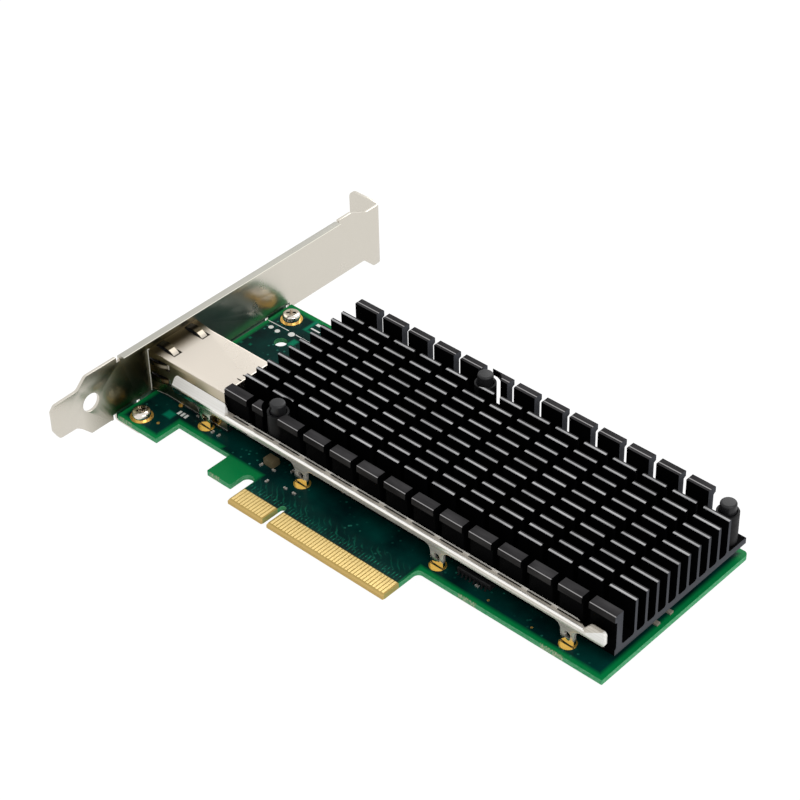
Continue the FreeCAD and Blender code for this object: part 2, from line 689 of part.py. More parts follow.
def jack_housing():
    housing = block(JACK_FRONT, HOUSING_REAR, HOUSING_NEAR, HOUSING_FAR, 0, HOUSING_TOP)
    cuts = [port_cavity()]
    cuts += lamp_blocks(JACK_FIT)
    # room for the curved contact fingers of the shield to spring inwards
    finger_room = FINGER_DIP + SHELL
    start = FINGER_ROOM_START
    end = FINGER_SLOT_REAR
    for near, far in TOP_FINGERS:
        cuts.append(block(start, end, near, far, HOUSING_TOP - finger_room, HOUSING_TOP + 1))
    for low, high in SIDE_FINGERS:
        cuts.append(block(start, end, HOUSING_NEAR - 1, HOUSING_NEAR + finger_room, low, high))
        cuts.append(block(start, end, HOUSING_FAR - finger_room, HOUSING_FAR + 1, low, high))
    housing = housing.cut(cuts)
    posts = [rod(POST_X, JACK_MIDDLE + side * POST_SPACING / 2, POST_TIP, 0.5, POST_R) for side in (-1, 1)]
    return joined([housing] + posts)


def jack_contacts():
    first = JACK_MIDDLE - PORT_CONTACT_PITCH * (PORT_CONTACTS - 1) / 2
    low = PORT_LOW
    thick = PORT_CONTACT_THICK
    front = PORT_REAR - PORT_CONTACT_REACH
    knee = front + PORT_CONTACT_FOOT
    outline = [
        (front, low), (knee, low), (PORT_REAR, PORT_CONTACT_TOP - thick), (PORT_REAR, PORT_CONTACT_TOP),
        (knee, low + thick, PORT_CONTACT_BEND_R), (front, low + thick),
    ]
    return [plate(outline, "xz", first + PORT_CONTACT_PITCH * i - PORT_CONTACT_WIDE / 2, PORT_CONTACT_WIDE)
            for i in range(PORT_CONTACTS)]


def jack_magnetics():
    return block(HOUSING_REAR, JACK_REAR - SHELL - JACK_FIT, HOUSING_NEAR, HOUSING_FAR, 0, HOUSING_TOP)


def jack_pins():
    return [centred(x, y, PIN_SQUARE, PIN_SQUARE, PIN_TIP, 0) for x, y in jack_pin_places()]


# ----------------------------------------------------------------- heat sink
def heat_sink():
    # closed outline of the extrusion, drawn in the y-z plane
    tops = [(SINK_NEAR, SINK_NEAR + THICK_FIN)]
    for i in range(THIN_FINS):
        front = THIN_FIN_FIRST + THIN_FIN_PITCH * i
        tops.append((front, front + THIN_FIN))
    tops.append((SINK_FAR - THICK_FIN, SINK_FAR))
    nose_low = SINK_TOP - NOSE_TALL
    foot_high = SINK_LOW + FOOT_TALL
    outline = [
        (SINK_NEAR - FOOT_OUT, SINK_LOW), (SINK_FAR + FOOT_OUT, SINK_LOW),
        (SINK_FAR + FOOT_OUT, foot_high - FOOT_OUT), (SINK_FAR, foot_high),
        (SINK_FAR, nose_low - NOSE_OUT / 2), (SINK_FAR + NOSE_OUT, nose_low),
        (SINK_FAR + NOSE_OUT, SINK_TOP - NOSE_EDGE), (SINK_FAR + NOSE_OUT - NOSE_EDGE, SINK_TOP),
    ]
    for i in range(len(tops) - 1, 0, -1):
        left_of_fin = tops[i][0]
        right_of_next = tops[i - 1][1]
        outline.append((left_of_fin, SINK_TOP))
        outline.append((left_of_fin, SINK_BASE_TOP + VALLEY_EDGE))
        outline.append((left_of_fin - VALLEY_EDGE, SINK_BASE_TOP))
        outline.append((right_of_next + VALLEY_EDGE, SINK_BASE_TOP))
        outline.append((right_of_next, SINK_BASE_TOP + VALLEY_EDGE))
        outline.append((right_of_next, SINK_TOP))
    outline += [
        (SINK_NEAR - NOSE_OUT + NOSE_EDGE, SINK_TOP), (SINK_NEAR - NOSE_OUT, SINK_TOP - NOSE_EDGE),
        (SINK_NEAR - NOSE_OUT, nose_low), (SINK_NEAR, nose_low - NOSE_OUT / 2),
        (SINK_NEAR, foot_high), (SINK_NEAR - FOOT_OUT, foot_high - FOOT_OUT),
    ]
    sink = plate(outline, "yz", SINK_LEFT, SINK_RIGHT - SINK_LEFT)
    cuts = []
    for i in range(CUTS):
        middle = CUT_FIRST + CUT_PITCH * i
        cuts.append(block(middle - CUT_WIDE / 2, middle + CUT_WIDE / 2, SINK_NEAR - 2, SINK_FAR + 2,
                          CUT_FLOOR, SINK_TOP + 1))
    for x, y in PINS[:2]:
        cuts.append(rod(x, y, SINK_BASE_TOP, SINK_TOP + 1, SLEEVE_R + POCKET_GAP))
    # the rear right corner is left open round the third pin
    corner_x, corner_y = PINS[2]
    cuts.append(block(corner_x - CORNER_CUT_REACH, SINK_RIGHT + 1, corner_y - SLEEVE_R - SLEEVE_GAP,
                      SINK_FAR + 2, SINK_BASE_TOP, SINK_TOP + 1))
    cuts += [rod(x, y, 0, SINK_BASE_TOP + 1, SLEEVE_LEG_R + SLEEVE_LEG_GAP) for x, y in PINS]
    return sink.cut(cuts)


# ----------------------------------------------------------------- push pins
def push_pins():
    stem_seat = SINK_BASE_TOP + SLEEVE_FLOOR
    pins = []
    for x, y in PINS:
        profile = [
            (0, stem_seat), (STEM_R, stem_seat), (STEM_R, CAP_LOW), (CAP_R, CAP_LOW),
            (CAP_R, CAP_TOP - CAP_EDGE), (CAP_R - CAP_EDGE, CAP_TOP), (0, CAP_TOP),
        ]
        pins.append(turned(profile, x, y))
    return pins


def pin_sleeves():
    floor_top = SINK_BASE_TOP + SLEEVE_FLOOR
    barb_seat = BOARD_UNDER - SLEEVE_LEG_GAP
    sleeves = []
    for x, y in PINS:
        profile = [
            (0, BARB_TIP), (BARB_TIP_R, BARB_TIP), (BARB_R, barb_seat - BARB_TOP), (BARB_R, barb_seat),
            (SLEEVE_LEG_R, barb_seat), (SLEEVE_LEG_R, SINK_BASE_TOP), (SLEEVE_R, SINK_BASE_TOP),
            (SLEEVE_R, SLEEVE_RIM), (SLEEVE_BORE_R, SLEEVE_RIM), (SLEEVE_BORE_R, floor_top), (0, floor_top),
        ]
        sleeve = turned(profile, x, y)
        split = centred(x, y, BARB_SPLIT, 2 * SLEEVE_R, BARB_TIP - 1, SINK_LOW)
        sleeves.append(sleeve.cut(split))
    return sleeves


# ---------------------------------------------------------------------- rail
def stiffener_rail():
    near = RAIL_NEAR
    far = RAIL_NEAR + RAIL_THICK
    bend = RAIL_BEND_HIGH
    flange_end = RAIL_END_START - RAIL_END_SLOPE
    half = LEG_WIDE / 2
    tip = LEG_TIP_WIDE / 2
    foot = PAD_FOIL
    # upright face with its legs, taller at the flat right end
    outline = [
        (RAIL_RIGHT, RAIL_END_HIGH, RAIL_CORNER_R), (RAIL_END_START, RAIL_END_HIGH, RAIL_CORNER_R),
        (flange_end, bend - RAIL_BEND_R), (RAIL_LEFT, bend - RAIL_BEND_R),
        (RAIL_LEFT, RAIL_LOW, RAIL_CORNER_R),
    ]
    for x in LEGS_X:
        outline += [
            (x - half, RAIL_LOW, LEG_ROOT_R), (x - half, foot), (x - tip, foot), (x - tip, LEG_TIP),
            (x + tip, LEG_TIP), (x + tip, foot), (x + half, foot), (x + half, RAIL_LOW, LEG_ROOT_R),
        ]
    outline.append((RAIL_RIGHT, RAIL_LOW, RAIL_CORNER_R))
    upright = plate(outline, "xz", near, RAIL_THICK)
    # flange folded back over the edge of the heat sink's foot, its right end cut aslant
    below = bend - RAIL_THICK
    back = SINK_NEAR - RAIL_SINK_GAP
    fold = plate([
        (near, below), (near, bend, RAIL_BEND_R), (back, bend), (back, below),
    ], "yz", RAIL_STEP_START, RAIL_END_START - RAIL_STEP_START)
    aslant = plate([
        (RAIL_STEP_START + RAIL_JACK_GAP, near), (RAIL_STEP_START + RAIL_JACK_GAP, back),
        (flange_end - RAIL_END_SLOPE, back), (RAIL_END_START, near),
    ], "xy", below - 1, RAIL_THICK + 2)
    # beside the jack the flange leans up against the jack's side instead
    lean_back = JACK_SIDE_NEAR - RAIL_JACK_GAP
    head = plate([
        (near, below), (near, bend, RAIL_BEND_R), (lean_back, RAIL_HEAD_HIGH),
        (lean_back, RAIL_HEAD_HIGH - RAIL_HEAD_EDGE), (far, below),
    ], "yz", RAIL_LEFT, RAIL_STEP_END - RAIL_LEFT)
    head_outline = plate([
        (RAIL_LEFT, below - 1), (RAIL_LEFT, RAIL_HEAD_HIGH, RAIL_CORNER_R),
        (RAIL_STEP_START, RAIL_HEAD_HIGH, RAIL_STEP_R), (RAIL_STEP_END, bend), (RAIL_STEP_END, below - 1),
    ], "xz", near - 1, back - near + 2)
    rail = joined([upright, fold.common(aslant), head.common(head_outline)])
    holes = []
    for x in LEGS_X:
        hole_at = vec(x, RAIL_NEAR - 1, LEG_HOLE_Z)
        holes.append(Part.makeCylinder(LEG_HOLE_R, RAIL_THICK + 2, hole_at, vec(0, 1, 0)))
    return rail.cut(holes)


# ---------------------------------------------------------------- components
def controller_base():
    x, y = CONTROLLER
    return centred(x, y, CONTROLLER_SIDE, CONTROLLER_SIDE, 0, CONTROLLER_THICK)


def controller_lid():
    x, y = CONTROLLER
    half = LID_SIDE / 2
    corners = [(x - half, y - half, LID_CORNER_R), (x + half, y - half, LID_CORNER_R),
               (x + half, y + half, LID_CORNER_R), (x - half, y + half, LID_CORNER_R)]
    lid = plate(corners, "xy", CONTROLLER_THICK, LID_THICK)
    rim = [edge for edge in lid.Edges if edge.BoundBox.ZMin > CONTROLLER_THICK + LID_THICK - FACE_SLACK]
    return lid.makeChamfer(LID_EDGE, rim)


def thermal_pad():
    x, y = CONTROLLER
    return centred(x, y, PAD_SIDE, PAD_SIDE, CONTROLLER_THICK + LID_THICK, SINK_LOW)


def end_capped(x, y, length, width, z0, z1):
    """Chip part with a metal cap proud of the body at each end."""
    proud = END_CAP_PROUD
    body = centred(x, y, length - 2 * END_CAP, width - 2 * proud, z0 + proud, z1 - proud)
    caps = []
    for side in (-1, 1):
        middle = x + side * (length - END_CAP) / 2
        caps.append(centred(middle, y, END_CAP, width, z0, z1))
    return body.fuse(caps)


def lead_row(x, y, count, pitch, side, reach):
    """Flat bent leads along one long side of a chip, from the body down to the board."""
    leads = []
    first = x - pitch * (count - 1) / 2
    shoulder = y + side * reach * LEAD_SHOULDER
    shin = shoulder + side * LEAD_THICK
    toe = y + side * reach
    outline = [
        (y, LEAD_ROOT), (shoulder, LEAD_ROOT), (shoulder, 0), (toe, 0),
        (toe, LEAD_THICK), (shin, LEAD_THICK), (shin, LEAD_ROOT + LEAD_THICK), (y, LEAD_ROOT + LEAD_THICK),
    ]
    for i in range(count):
        leads.append(plate(outline, "yz", first + pitch * i - LEAD_WIDE / 2, LEAD_WIDE))
    return leads


def leaded_chip(place, leads, pitch):
    x, y, length, width, high = place
    body = centred(x, y, length, width, CHIP_STAND, high)
    rim = [edge for edge in body.Edges if edge.BoundBox.ZMin > high - FACE_SLACK]
    body = body.makeChamfer(CHIP_EDGE, rim)
    rows = lead_row(x, y - width / 2, leads, pitch, -1, LEAD_REACH)
    rows += lead_row(x, y + width / 2, leads, pitch, 1, LEAD_REACH)
    return body.fuse(rows)


def flat_chip(x, y, length, width, high, edge=FLAT_CHIP_EDGE):
    body = centred(x, y, length, width, 0, high)
    rim = [edge for edge in body.Edges if edge.BoundBox.ZMin > high - FACE_SLACK]
    return body.makeChamfer(edge, rim)


def crystal_can():
    x, y, length, width, high = CRYSTAL
    base = centred(x, y, length, width, 0, CRYSTAL_BASE)
    lid = centred(x, y, length - CRYSTAL_RIM, width - CRYSTAL_RIM, CRYSTAL_BASE, high)
    return base.fuse(lid)


def underside_passives():
    x0, y0 = CONTROLLER
    length, width, high = SMALL_SIZE
    parts = []
    for i in range(UNDER_COLUMNS):
        for j in range(UNDER_ROWS):
            x = x0 + (i - (UNDER_COLUMNS - 1) / 2) * UNDER_PITCH
            y = y0 + (j - (UNDER_ROWS - 1) / 2) * UNDER_PITCH
            parts.append(end_capped(x, y, length, width, BOARD_UNDER - high, BOARD_UNDER))
    return parts


# -------------------------------------------------------------------- output
os.makedirs("parts", exist_ok=True)
small_length, small_width, small_high = SMALL_SIZE
write("circuit_board", circuit_board())
write_group("edge_contacts_top", edge_contacts(0))
write_group("edge_contacts_under", edge_contacts(BOARD_UNDER - CONTACT_FOIL))
write_group("screw_pads", screw_pads())
write_group("rail_pads", rail_pads())
write("bracket", bracket())
write_group("bracket_screws", bracket_screws())
write("jack_shield", jack_shield())
write("jack_housing", jack_housing())
write_group("jack_contacts", jack_contacts())
write_group("jack_lamps", lamp_blocks(0))
write("jack_magnetics", jack_magnetics())
write_group("jack_pins", jack_pins())
write("heat_sink", heat_sink())
write_group("push_pins", push_pins())
write_group("pin_sleeves", pin_sleeves())
write("stiffener_rail", stiffener_rail())
write("controller_base", controller_base())
write("controller_lid", controller_lid())
write("thermal_pad", thermal_pad())
write_group("ceramic_capacitors", [end_capped(x, y, a, b, 0, h) for x, y, a, b, h in TALL_CAPACITORS])
write_group("power_inductors", [flat_chip(*place, edge=INDUCTOR_EDGE) for place in INDUCTORS])
write_group("regulator_chips", [flat_chip(*place) for place in REGULATORS])
write("flash_chip", leaded_chip(FLASH, FLASH_LEADS, LEAD_PITCH))
write("rail_side_chip", leaded_chip(RAIL_CHIP, RAIL_CHIP_LEADS, RAIL_CHIP_PITCH))
write("crystal_can", crystal_can())
small_parts = [end_capped(x, y, small_length, small_width, 0, small_high) for x, y in SMALL_TOP]
write_group("chip_passives", small_parts)
write_group("underside_passives", underside_passives())
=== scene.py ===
import math
import bmesh
import bpy
from mathutils import Matrix, Vector


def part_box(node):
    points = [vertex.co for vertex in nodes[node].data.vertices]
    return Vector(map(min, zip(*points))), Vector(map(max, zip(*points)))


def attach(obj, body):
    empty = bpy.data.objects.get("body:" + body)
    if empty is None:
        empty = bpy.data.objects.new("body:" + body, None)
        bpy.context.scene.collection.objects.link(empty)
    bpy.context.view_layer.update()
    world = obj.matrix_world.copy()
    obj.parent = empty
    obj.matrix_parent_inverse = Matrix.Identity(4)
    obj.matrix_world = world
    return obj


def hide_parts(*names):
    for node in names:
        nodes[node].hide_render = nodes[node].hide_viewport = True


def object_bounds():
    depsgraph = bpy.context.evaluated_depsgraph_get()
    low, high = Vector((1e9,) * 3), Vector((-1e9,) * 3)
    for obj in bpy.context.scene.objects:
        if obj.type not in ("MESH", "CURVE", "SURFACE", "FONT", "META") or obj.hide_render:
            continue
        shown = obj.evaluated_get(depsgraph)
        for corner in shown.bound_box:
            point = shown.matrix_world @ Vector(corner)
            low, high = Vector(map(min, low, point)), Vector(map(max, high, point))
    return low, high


# A network card lying on a pale table: green board with a gold card edge,
# pressed steel bracket, shielded jack, black finned heat sink with three push
# pins, and a bright stiffening rail. Everything is in metres, in the frame of
# the solids: +X along the card, +Y to its rear edge, +Z up.

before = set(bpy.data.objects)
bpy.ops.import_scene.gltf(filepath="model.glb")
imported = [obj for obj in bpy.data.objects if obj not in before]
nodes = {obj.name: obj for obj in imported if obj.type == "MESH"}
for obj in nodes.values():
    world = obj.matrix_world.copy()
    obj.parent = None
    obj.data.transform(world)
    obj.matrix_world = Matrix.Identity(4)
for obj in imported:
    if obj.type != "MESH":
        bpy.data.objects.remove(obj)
cad_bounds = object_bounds()

MM = 0.001
board_low, board_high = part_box("circuit_board")
sink_low, sink_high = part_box("heat_sink")
jack_low, jack_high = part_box("jack_shield")
rail_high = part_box("stiffener_rail")[1]
bracket_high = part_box("bracket")[1]
screws_low, screws_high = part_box("bracket_screws")
board_top = board_high.z

# ------------------------------------------------------------------ sizes
# rounding of the edges
EDGE_SHARP = 0.05 * MM
EDGE_PRESSED = 0.16 * MM
EDGE_EXTRUDED = 0.2 * MM
EDGE_MOULDED = 0.22 * MM
EDGE_RESISTOR = 0.04 * MM
MERGE_GAP = 0.001 * MM
FLAT_ANGLE = math.radians(0.5)
CORNER_ANGLE = math.radians(35)

# screws: dome steps are (inset, rise) in millimetres
SCREW_SIDES = 48
SCREW_SHANK_R = 1.25 * MM
SCREW_DOME_DROP = 0.62 * MM
SCREW_DOME_STEPS = ((0.16, 0.24), (0.30, 0.20), (0.55, 0.13), (0.60, 0.05))
SCREW_TURNS = (0.35, 0.85)
RECESS_LONG = 3.3 * MM
RECESS_WIDE = 0.95 * MM
RECESS_DEEP = 1.5 * MM
RECESS_TAPER = 0.62

# places in the frame of the solids, in millimetres

# the bracket's flange: its edge in the solids, how much further in it is drawn, how near
# its face has to lie to be picked, its two ends, and the width of its sheared rim
FLANGE_EDGE = -58.4
FLANGE_MORE = 1.4
FLANGE_NEAR = 0.05
FLANGE_FRONT = 7.9
FLANGE_REAR = 88.3
FLANGE_RIM = 0.26
# the rail: its upright face, the end of its leaning head, and its rim's start and end
RAIL_FRONT = 16.2
RAIL_HEAD_END = -29.6
RAIL_RIM_START = -28.0
RAIL_BAR_END = 87.0
# the heat sink's inner fins and sawn cuts, and the jack's spring fingers
THIN_FIN_FIRST = 25.2
THIN_FIN_PITCH = 3.92
CUT_FIRST = -21.9
CUT_PITCH = 8.97
TOP_FINGERS = ((20.0, 22.8), (30.0, 32.8))
SIDE_FINGERS = ((4.5, 6.8), (9.3, 11.5))
FINGER_ROOT = -51.45
# openings in the copper of the board, as (left, front, right, back)
BARE_SPOTS = (
    (-48.1, 62.2, -46.3, 68.2), (-47.0, 62.2, -43.6, 63.4), (-46.8, 54.8, -44.2, 58.2),
    (-49.9, 12.0, -46.4, 15.2), (-57.0, 47.0, -55.8, 48.2), (-56.6, 50.0, -55.4, 51.2),
    (-54.4, 47.9, -53.2, 49.1), (-41.0, 52.2, -36.5, 57.0),
)

# places on the board, in millimetres from its left edge and from the contact tips:
# zones are (left, front, right, back)
COPPER_LEFT = 0.7
COPPER_MARGIN = 1.0
COPPER_BEHIND_CONTACTS = (45.2, 4.6, 98.2, 15.4)
COPPER_IN_ARM = (29.6, 12.0, 47.9, 16.4)
TRACE_FAN = (45.0, 6.0, 97.5, 12.5)
CONTACT_TAILS = (45.7, 5.9, 98.0, 8.9)
LEFT_TONGUE = (45.4, -0.5, 57.6, 5.95)
RIGHT_TONGUE = (58.95, -0.5, 98.2, 5.95)
TONGUE_TIPS = (45.4, -0.5, 98.2, 0.8)
SNAPPED_EDGES = (
    (0.8, 4.0, 5.6, 4.75), (34.6, 3.9, 38.3, 4.65),
    (110.5, 12.0, 116.5, 12.8), (135.5, 12.0, 142.5, 12.8),
)

# discs are (along, back, radius); bars are (along, back, length, width) and a turn
INK_HIGH = 0.02 * MM
DISC_SIDES = 28
PRINT_DISCS = ((3.2, 57.65, 0.75), (5.8, 57.5, 0.75), (9.8, 58.9, 0.95))
PRINT_BARS = (
    (4.3, 59.5, 7.6, 0.25, 0.03), (13.4, 59.5, 5.2, 0.25),
    (11.6, 15.8, 0.8, 1.5), (12.85, 15.8, 0.8, 1.5), (14.1, 15.8, 0.8, 1.5),
    (19.5, 66.0, 4.6, 0.3), (17.3, 64.9, 0.3, 2.0), (21.7, 64.9, 0.3, 2.0),
    (20.2, 62.6, 2.6, 0.25), (20.2, 63.35, 2.6, 0.25), (20.2, 64.1, 2.6, 0.25),
    (13.5, 64.4, 3.2, 0.5), (12.6, 66.6, 1.4, 1.0),
)
PROBE_DISCS = (
    (10.5, 9.2, 0.45), (9.7, 18.0, 0.62), (45.2, 18.6, 0.35),
    (117.5, 15.4, 0.35), (131.0, 15.1, 0.35),
)

# small resistors: places are (along, back, turn)
RESISTOR_LONG = 1.0 * MM
RESISTOR_WIDE = 0.55 * MM
RESISTOR_HIGH = 0.42 * MM
QUARTER = math.pi / 2
RESISTOR_PLACES = (
    (46.6, 15.4, 0.0), (48.2, 11.3, QUARTER), (53.6, 12.4, 0.0), (56.6, 12.4, 0.0),
    (50.4, 18.2, QUARTER), (42.6, 14.9, QUARTER), (16.6, 17.8, 0.0), (24.0, 15.8, QUARTER),
    (26.2, 15.8, QUARTER), (112.5, 17.2, 0.0), (33.0, 22.4, 0.0),
)

# finishes: a zone reaches PAST beyond the faces that it covers, in millimetres
PAST = 1.0
BOARD_COVER = 3 * MM
NOISE_DETAIL = 3.0
NOISE_REACH = 0.18
FACING_POWER = 8.0
CRISP = 20000.0
GLOSS_SCALE = 900.0
GLOSS_SPREAD = 0.06

# stage: lamps are (name, place, side, watts)
FLOOR_HALF = 3.0
FLOOR_GAP = 0.02 * MM
FLOOR_GREY = 0.92
FLOOR_GLOW = 1.06
FLOOR_GLOW_SHARE = 0.93
LIGHT_LEVEL = 0.62
LAMP_AIM = (0.02, 0.035, 0)
LAMPS = (
    ("rear_softbox", (-0.15, 0.75, 0.65), 0.7, 4.0),
    ("right_softbox", (0.75, -0.15, 0.55), 0.6, 3.0),
)
VIEW_BEARING = math.radians(43.411)
VIEW_HEIGHT = math.radians(38.587)
VIEW_ROLL = math.radians(-1.472)
VIEW_PLACE = (309.526 * MM, -277.495 * MM, 367.661 * MM)
VIEW_LENS = 101.868
VIEW_SENSOR = 36.0


# ----------------------------------------------------------------- helpers
def clear_selection():
    """Leave edit mode if need be and select nothing."""
    if bpy.context.mode != "OBJECT":
        bpy.ops.object.mode_set(mode="OBJECT")
    bpy.ops.object.select_all(action="DESELECT")


def take(piece):
    """Make this the only selected and the active piece."""
    clear_selection()
    piece.select_set(True)
    bpy.context.view_layer.objects.active = piece


def edit(piece, mode="FACE"):
    """Open this piece alone in edit mode."""
    take(piece)
    bpy.ops.object.mode_set(mode="EDIT")
    bpy.ops.mesh.select_mode(type=mode)


def leave():
    bpy.ops.object.mode_set(mode="OBJECT")


def pick_faces(piece, wanted):
    """In edit mode, select only the faces that pass the test."""
    bpy.ops.mesh.select_all(action="DESELECT")
    shape = bmesh.from_edit_mesh(piece.data)
    for face in shape.faces:
        face.select_set(bool(wanted(face)))
    bmesh.update_edit_mesh(piece.data)


def turn_all(piece, turn, centre):
    """Turn the whole mesh about an upright line through the centre."""
    edit(piece)
    bpy.ops.mesh.select_all(action="SELECT")
    bpy.ops.transform.rotate(value=turn, orient_axis="Z", center_override=centre)
    leave()


def modify(piece, kind, **settings):
    """Add a modifier with these settings and apply it."""
    take(piece)
    modifier = piece.modifiers.new(kind.lower(), kind)
    for name, value in settings.items():
        setattr(modifier, name, value)
    bpy.ops.object.modifier_apply(modifier=modifier.name)


def set_in_mesh(piece):
    """Move the piece's place, turn and scale into its mesh."""
    take(piece)
    bpy.ops.object.transform_apply(location=True, rotation=True, scale=True)


def settle(piece, name, material, stands_for=()):
    """Hang the piece on the card; without a material it keeps the ones on its faces."""
    set_in_mesh(piece)
    piece.name = name
    piece.data.name = name
    if material:
        piece.data.materials.clear()
        piece.data.materials.append(material)
    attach(piece, "root")
    if stands_for:
        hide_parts(*stands_for)
    return piece


def smooth(piece, degrees=30):
    take(piece)
    bpy.ops.object.shade_smooth_by_angle(angle=math.radians(degrees))


def join_pieces(pieces):
    take(pieces[0])
    for piece in pieces:
        piece.select_set(True)
    bpy.ops.object.join()
    return bpy.context.view_layer.objects.active


def copy_of_node(node, name):
    """A merged copy of a node's solid, left in edit mode with all of it selected."""
    piece = bpy.data.objects.new(name, nodes[node].data.copy())
    bpy.context.scene.collection.objects.link(piece)
    edit(piece, "VERT")
    bpy.ops.mesh.select_all(action="SELECT")
    bpy.ops.mesh.remove_doubles(threshold=MERGE_GAP)
    return piece


def soften_node(node, name, edge, material, steps=2, reshape=None):
    """A copy of a node's solid, with its edges rounded by a small bevel."""
    piece = copy_of_node(node, name)
    bpy.ops.mesh.dissolve_limited(angle_limit=FLAT_ANGLE)
    if reshape:
        reshape(piece)
    leave()
    modify(piece, "BEVEL", width=edge, segments=steps, limit_method="ANGLE",
           angle_limit=CORNER_ANGLE, harden_normals=False)
    smooth(piece)
    return settle(piece, name, material, (node,))


def widen_flange(piece):
    """In edit mode, draw the bracket's folded flange further in over the jack."""
    def at_end(face):
        middle = face.calc_center_median()
        near = abs(middle.x - FLANGE_EDGE * MM) < FLANGE_NEAR * MM
        return near and face.normal.x > 0.9 and middle.z > bracket_high.z - MM

    pick_faces(piece, at_end)
    bpy.ops.transform.translate(value=(FLANGE_MORE * MM, 0, 0))


# ------------------------------------------------------------ shader helpers
def feed(tree, socket, value):
    """Link a socket to another socket, or set it to a plain value."""
    if isinstance(value, bpy.types.NodeSocket):
        tree.links.new(value, socket)
    elif isinstance(value, (tuple, list)) and len(value) == 3 and socket.type == "RGBA":
        socket.default_value = (*value, 1.0)
    else:
        socket.default_value = value


def math_node(tree, operation, first, second=0.0):
    """One step of arithmetic on sockets or numbers."""
    node = tree.nodes.new("ShaderNodeMath")
    node.operation = operation
    feed(tree, node.inputs[0], first)
    feed(tree, node.inputs[1], second)
    return node.outputs[0]


def times(tree, first, second):
    return math_node(tree, "MULTIPLY", first, second)


def plus(tree, first, second):
    return math_node(tree, "ADD", first, second)


def minus(tree, first, second):
    return math_node(tree, "SUBTRACT", first, second)


def larger(tree, first, second):
    return math_node(tree, "MAXIMUM", first, second)


def smaller(tree, first, second):
    return math_node(tree, "MINIMUM", first, second)


def vector_node(tree, operation, first, second):
    node = tree.nodes.new("ShaderNodeVectorMath")
    node.operation = operation
    feed(tree, node.inputs[0], first)
    feed(tree, node.inputs[1], second)
    return node


def parts_of(tree, vector):
    """The three parts of a vector, as sockets."""
    node = tree.nodes.new("ShaderNodeSeparateXYZ")
    feed(tree, node.inputs[0], vector)
    return node.outputs


def mix_colours(tree, mask, under, over):
    node = tree.nodes.new("ShaderNodeMix")
    node.data_type = "RGBA"
    feed(tree, node.inputs[0], mask)
    feed(tree, node.inputs[6], under)
    feed(tree, node.inputs[7], over)
    return node.outputs[2]


def group_shell(name, inputs, outputs):
    tree = bpy.data.node_groups.new(name, "ShaderNodeTree")
    for label, kind in inputs:
        tree.interface.new_socket(name=label, in_out="INPUT", socket_type="NodeSocket" + kind)
    for label, kind in outputs:
        tree.interface.new_socket(name=label, in_out="OUTPUT", socket_type="NodeSocket" + kind)
    return tree, tree.nodes.new("NodeGroupInput"), tree.nodes.new("NodeGroupOutput")


def place_group(tree, group, **values):
    node = tree.nodes.new("ShaderNodeGroup")
    node.node_tree = group
    for label, value in values.items():
        feed(tree, node.inputs[label.replace("_", " ")], value)
    return node.outputs[0]


def build_patch_mask():
    """1 inside an upright box and 0 outside it, with a ramp that Sharpness makes narrow."""
    inputs = [("Vector", "Vector"), ("Low", "Vector"), ("High", "Vector"), ("Sharpness", "Float")]
    tree, start, end = group_shell("patch_mask", inputs, [("Mask", "Float")])
    past_low = vector_node(tree, "SUBTRACT", start.outputs["Vector"], start.outputs["Low"])
    before_high = vector_node(tree, "SUBTRACT", start.outputs["High"], start.outputs["Vector"])
    nearest = vector_node(tree, "MINIMUM", past_low.outputs[0], before_high.outputs[0])
    x, y, z = parts_of(tree, nearest.outputs[0])
    least = smaller(tree, smaller(tree, x, y), z)
    ramp = times(tree, least, start.outputs["Sharpness"])
    feed(tree, end.inputs["Mask"], smaller(tree, larger(tree, ramp, 0.0), 1.0))
    return tree


def build_grain():
    """Noise stretched along the axes and spread between two values."""
    inputs = [("Vector", "Vector"), ("Stretch", "Vector"), ("Scale", "Float"),
              ("Low", "Float"), ("High", "Float")]
    tree, start, end = group_shell("grain", inputs, [("Value", "Float")])
    noise = tree.nodes.new("ShaderNodeTexNoise")
    stretched = vector_node(tree, "MULTIPLY", start.outputs["Vector"], start.outputs["Stretch"])
    feed(tree, noise.inputs["Vector"], stretched.outputs[0])
    feed(tree, noise.inputs["Scale"], start.outputs["Scale"])
    noise.inputs["Detail"].default_value = NOISE_DETAIL
    spread = tree.nodes.new("ShaderNodeMapRange")
    feed(tree, spread.inputs["Value"], noise.outputs["Fac"])
    spread.inputs["From Min"].default_value = 0.5 - NOISE_REACH
    spread.inputs["From Max"].default_value = 0.5 + NOISE_REACH
    feed(tree, spread.inputs["To Min"], start.outputs["Low"])
    feed(tree, spread.inputs["To Max"], start.outputs["High"])
    feed(tree, end.inputs["Value"], spread.outputs["Result"])
    return tree


def build_dots():
    """Scattered round dots, with one in every cell of a loose grid."""
    inputs = [("Vector", "Vector"), ("Scale", "Float"), ("Radius", "Float")]
    tree, start, end = group_shell("dots", inputs, [("Mask", "Float")])
    cells = tree.nodes.new("ShaderNodeTexVoronoi")
    cells.voronoi_dimensions = "2D"
    feed(tree, cells.inputs["Vector"], start.outputs["Vector"])
    feed(tree, cells.inputs["Scale"], start.outputs["Scale"])
    inside = math_node(tree, "LESS_THAN", cells.outputs["Distance"], start.outputs["Radius"])
    feed(tree, end.inputs["Mask"], inside)
    return tree


def build_facing():
    """How squarely a face looks along an axis, from 0 to 1, for sawn faces and for painted sheen,
    shade and reflection.
    """
    inputs = [("Normal", "Vector"), ("Axis", "Vector")]
    tree, start, end = group_shell("facing", inputs, [("Mask", "Float")])
    along = vector_node(tree, "DOT_PRODUCT", start.outputs["Normal"], start.outputs["Axis"])
    narrowed = math_node(tree, "POWER", larger(tree, along.outputs["Value"], 0.0), FACING_POWER)
    feed(tree, end.inputs["Mask"], narrowed)
    return tree


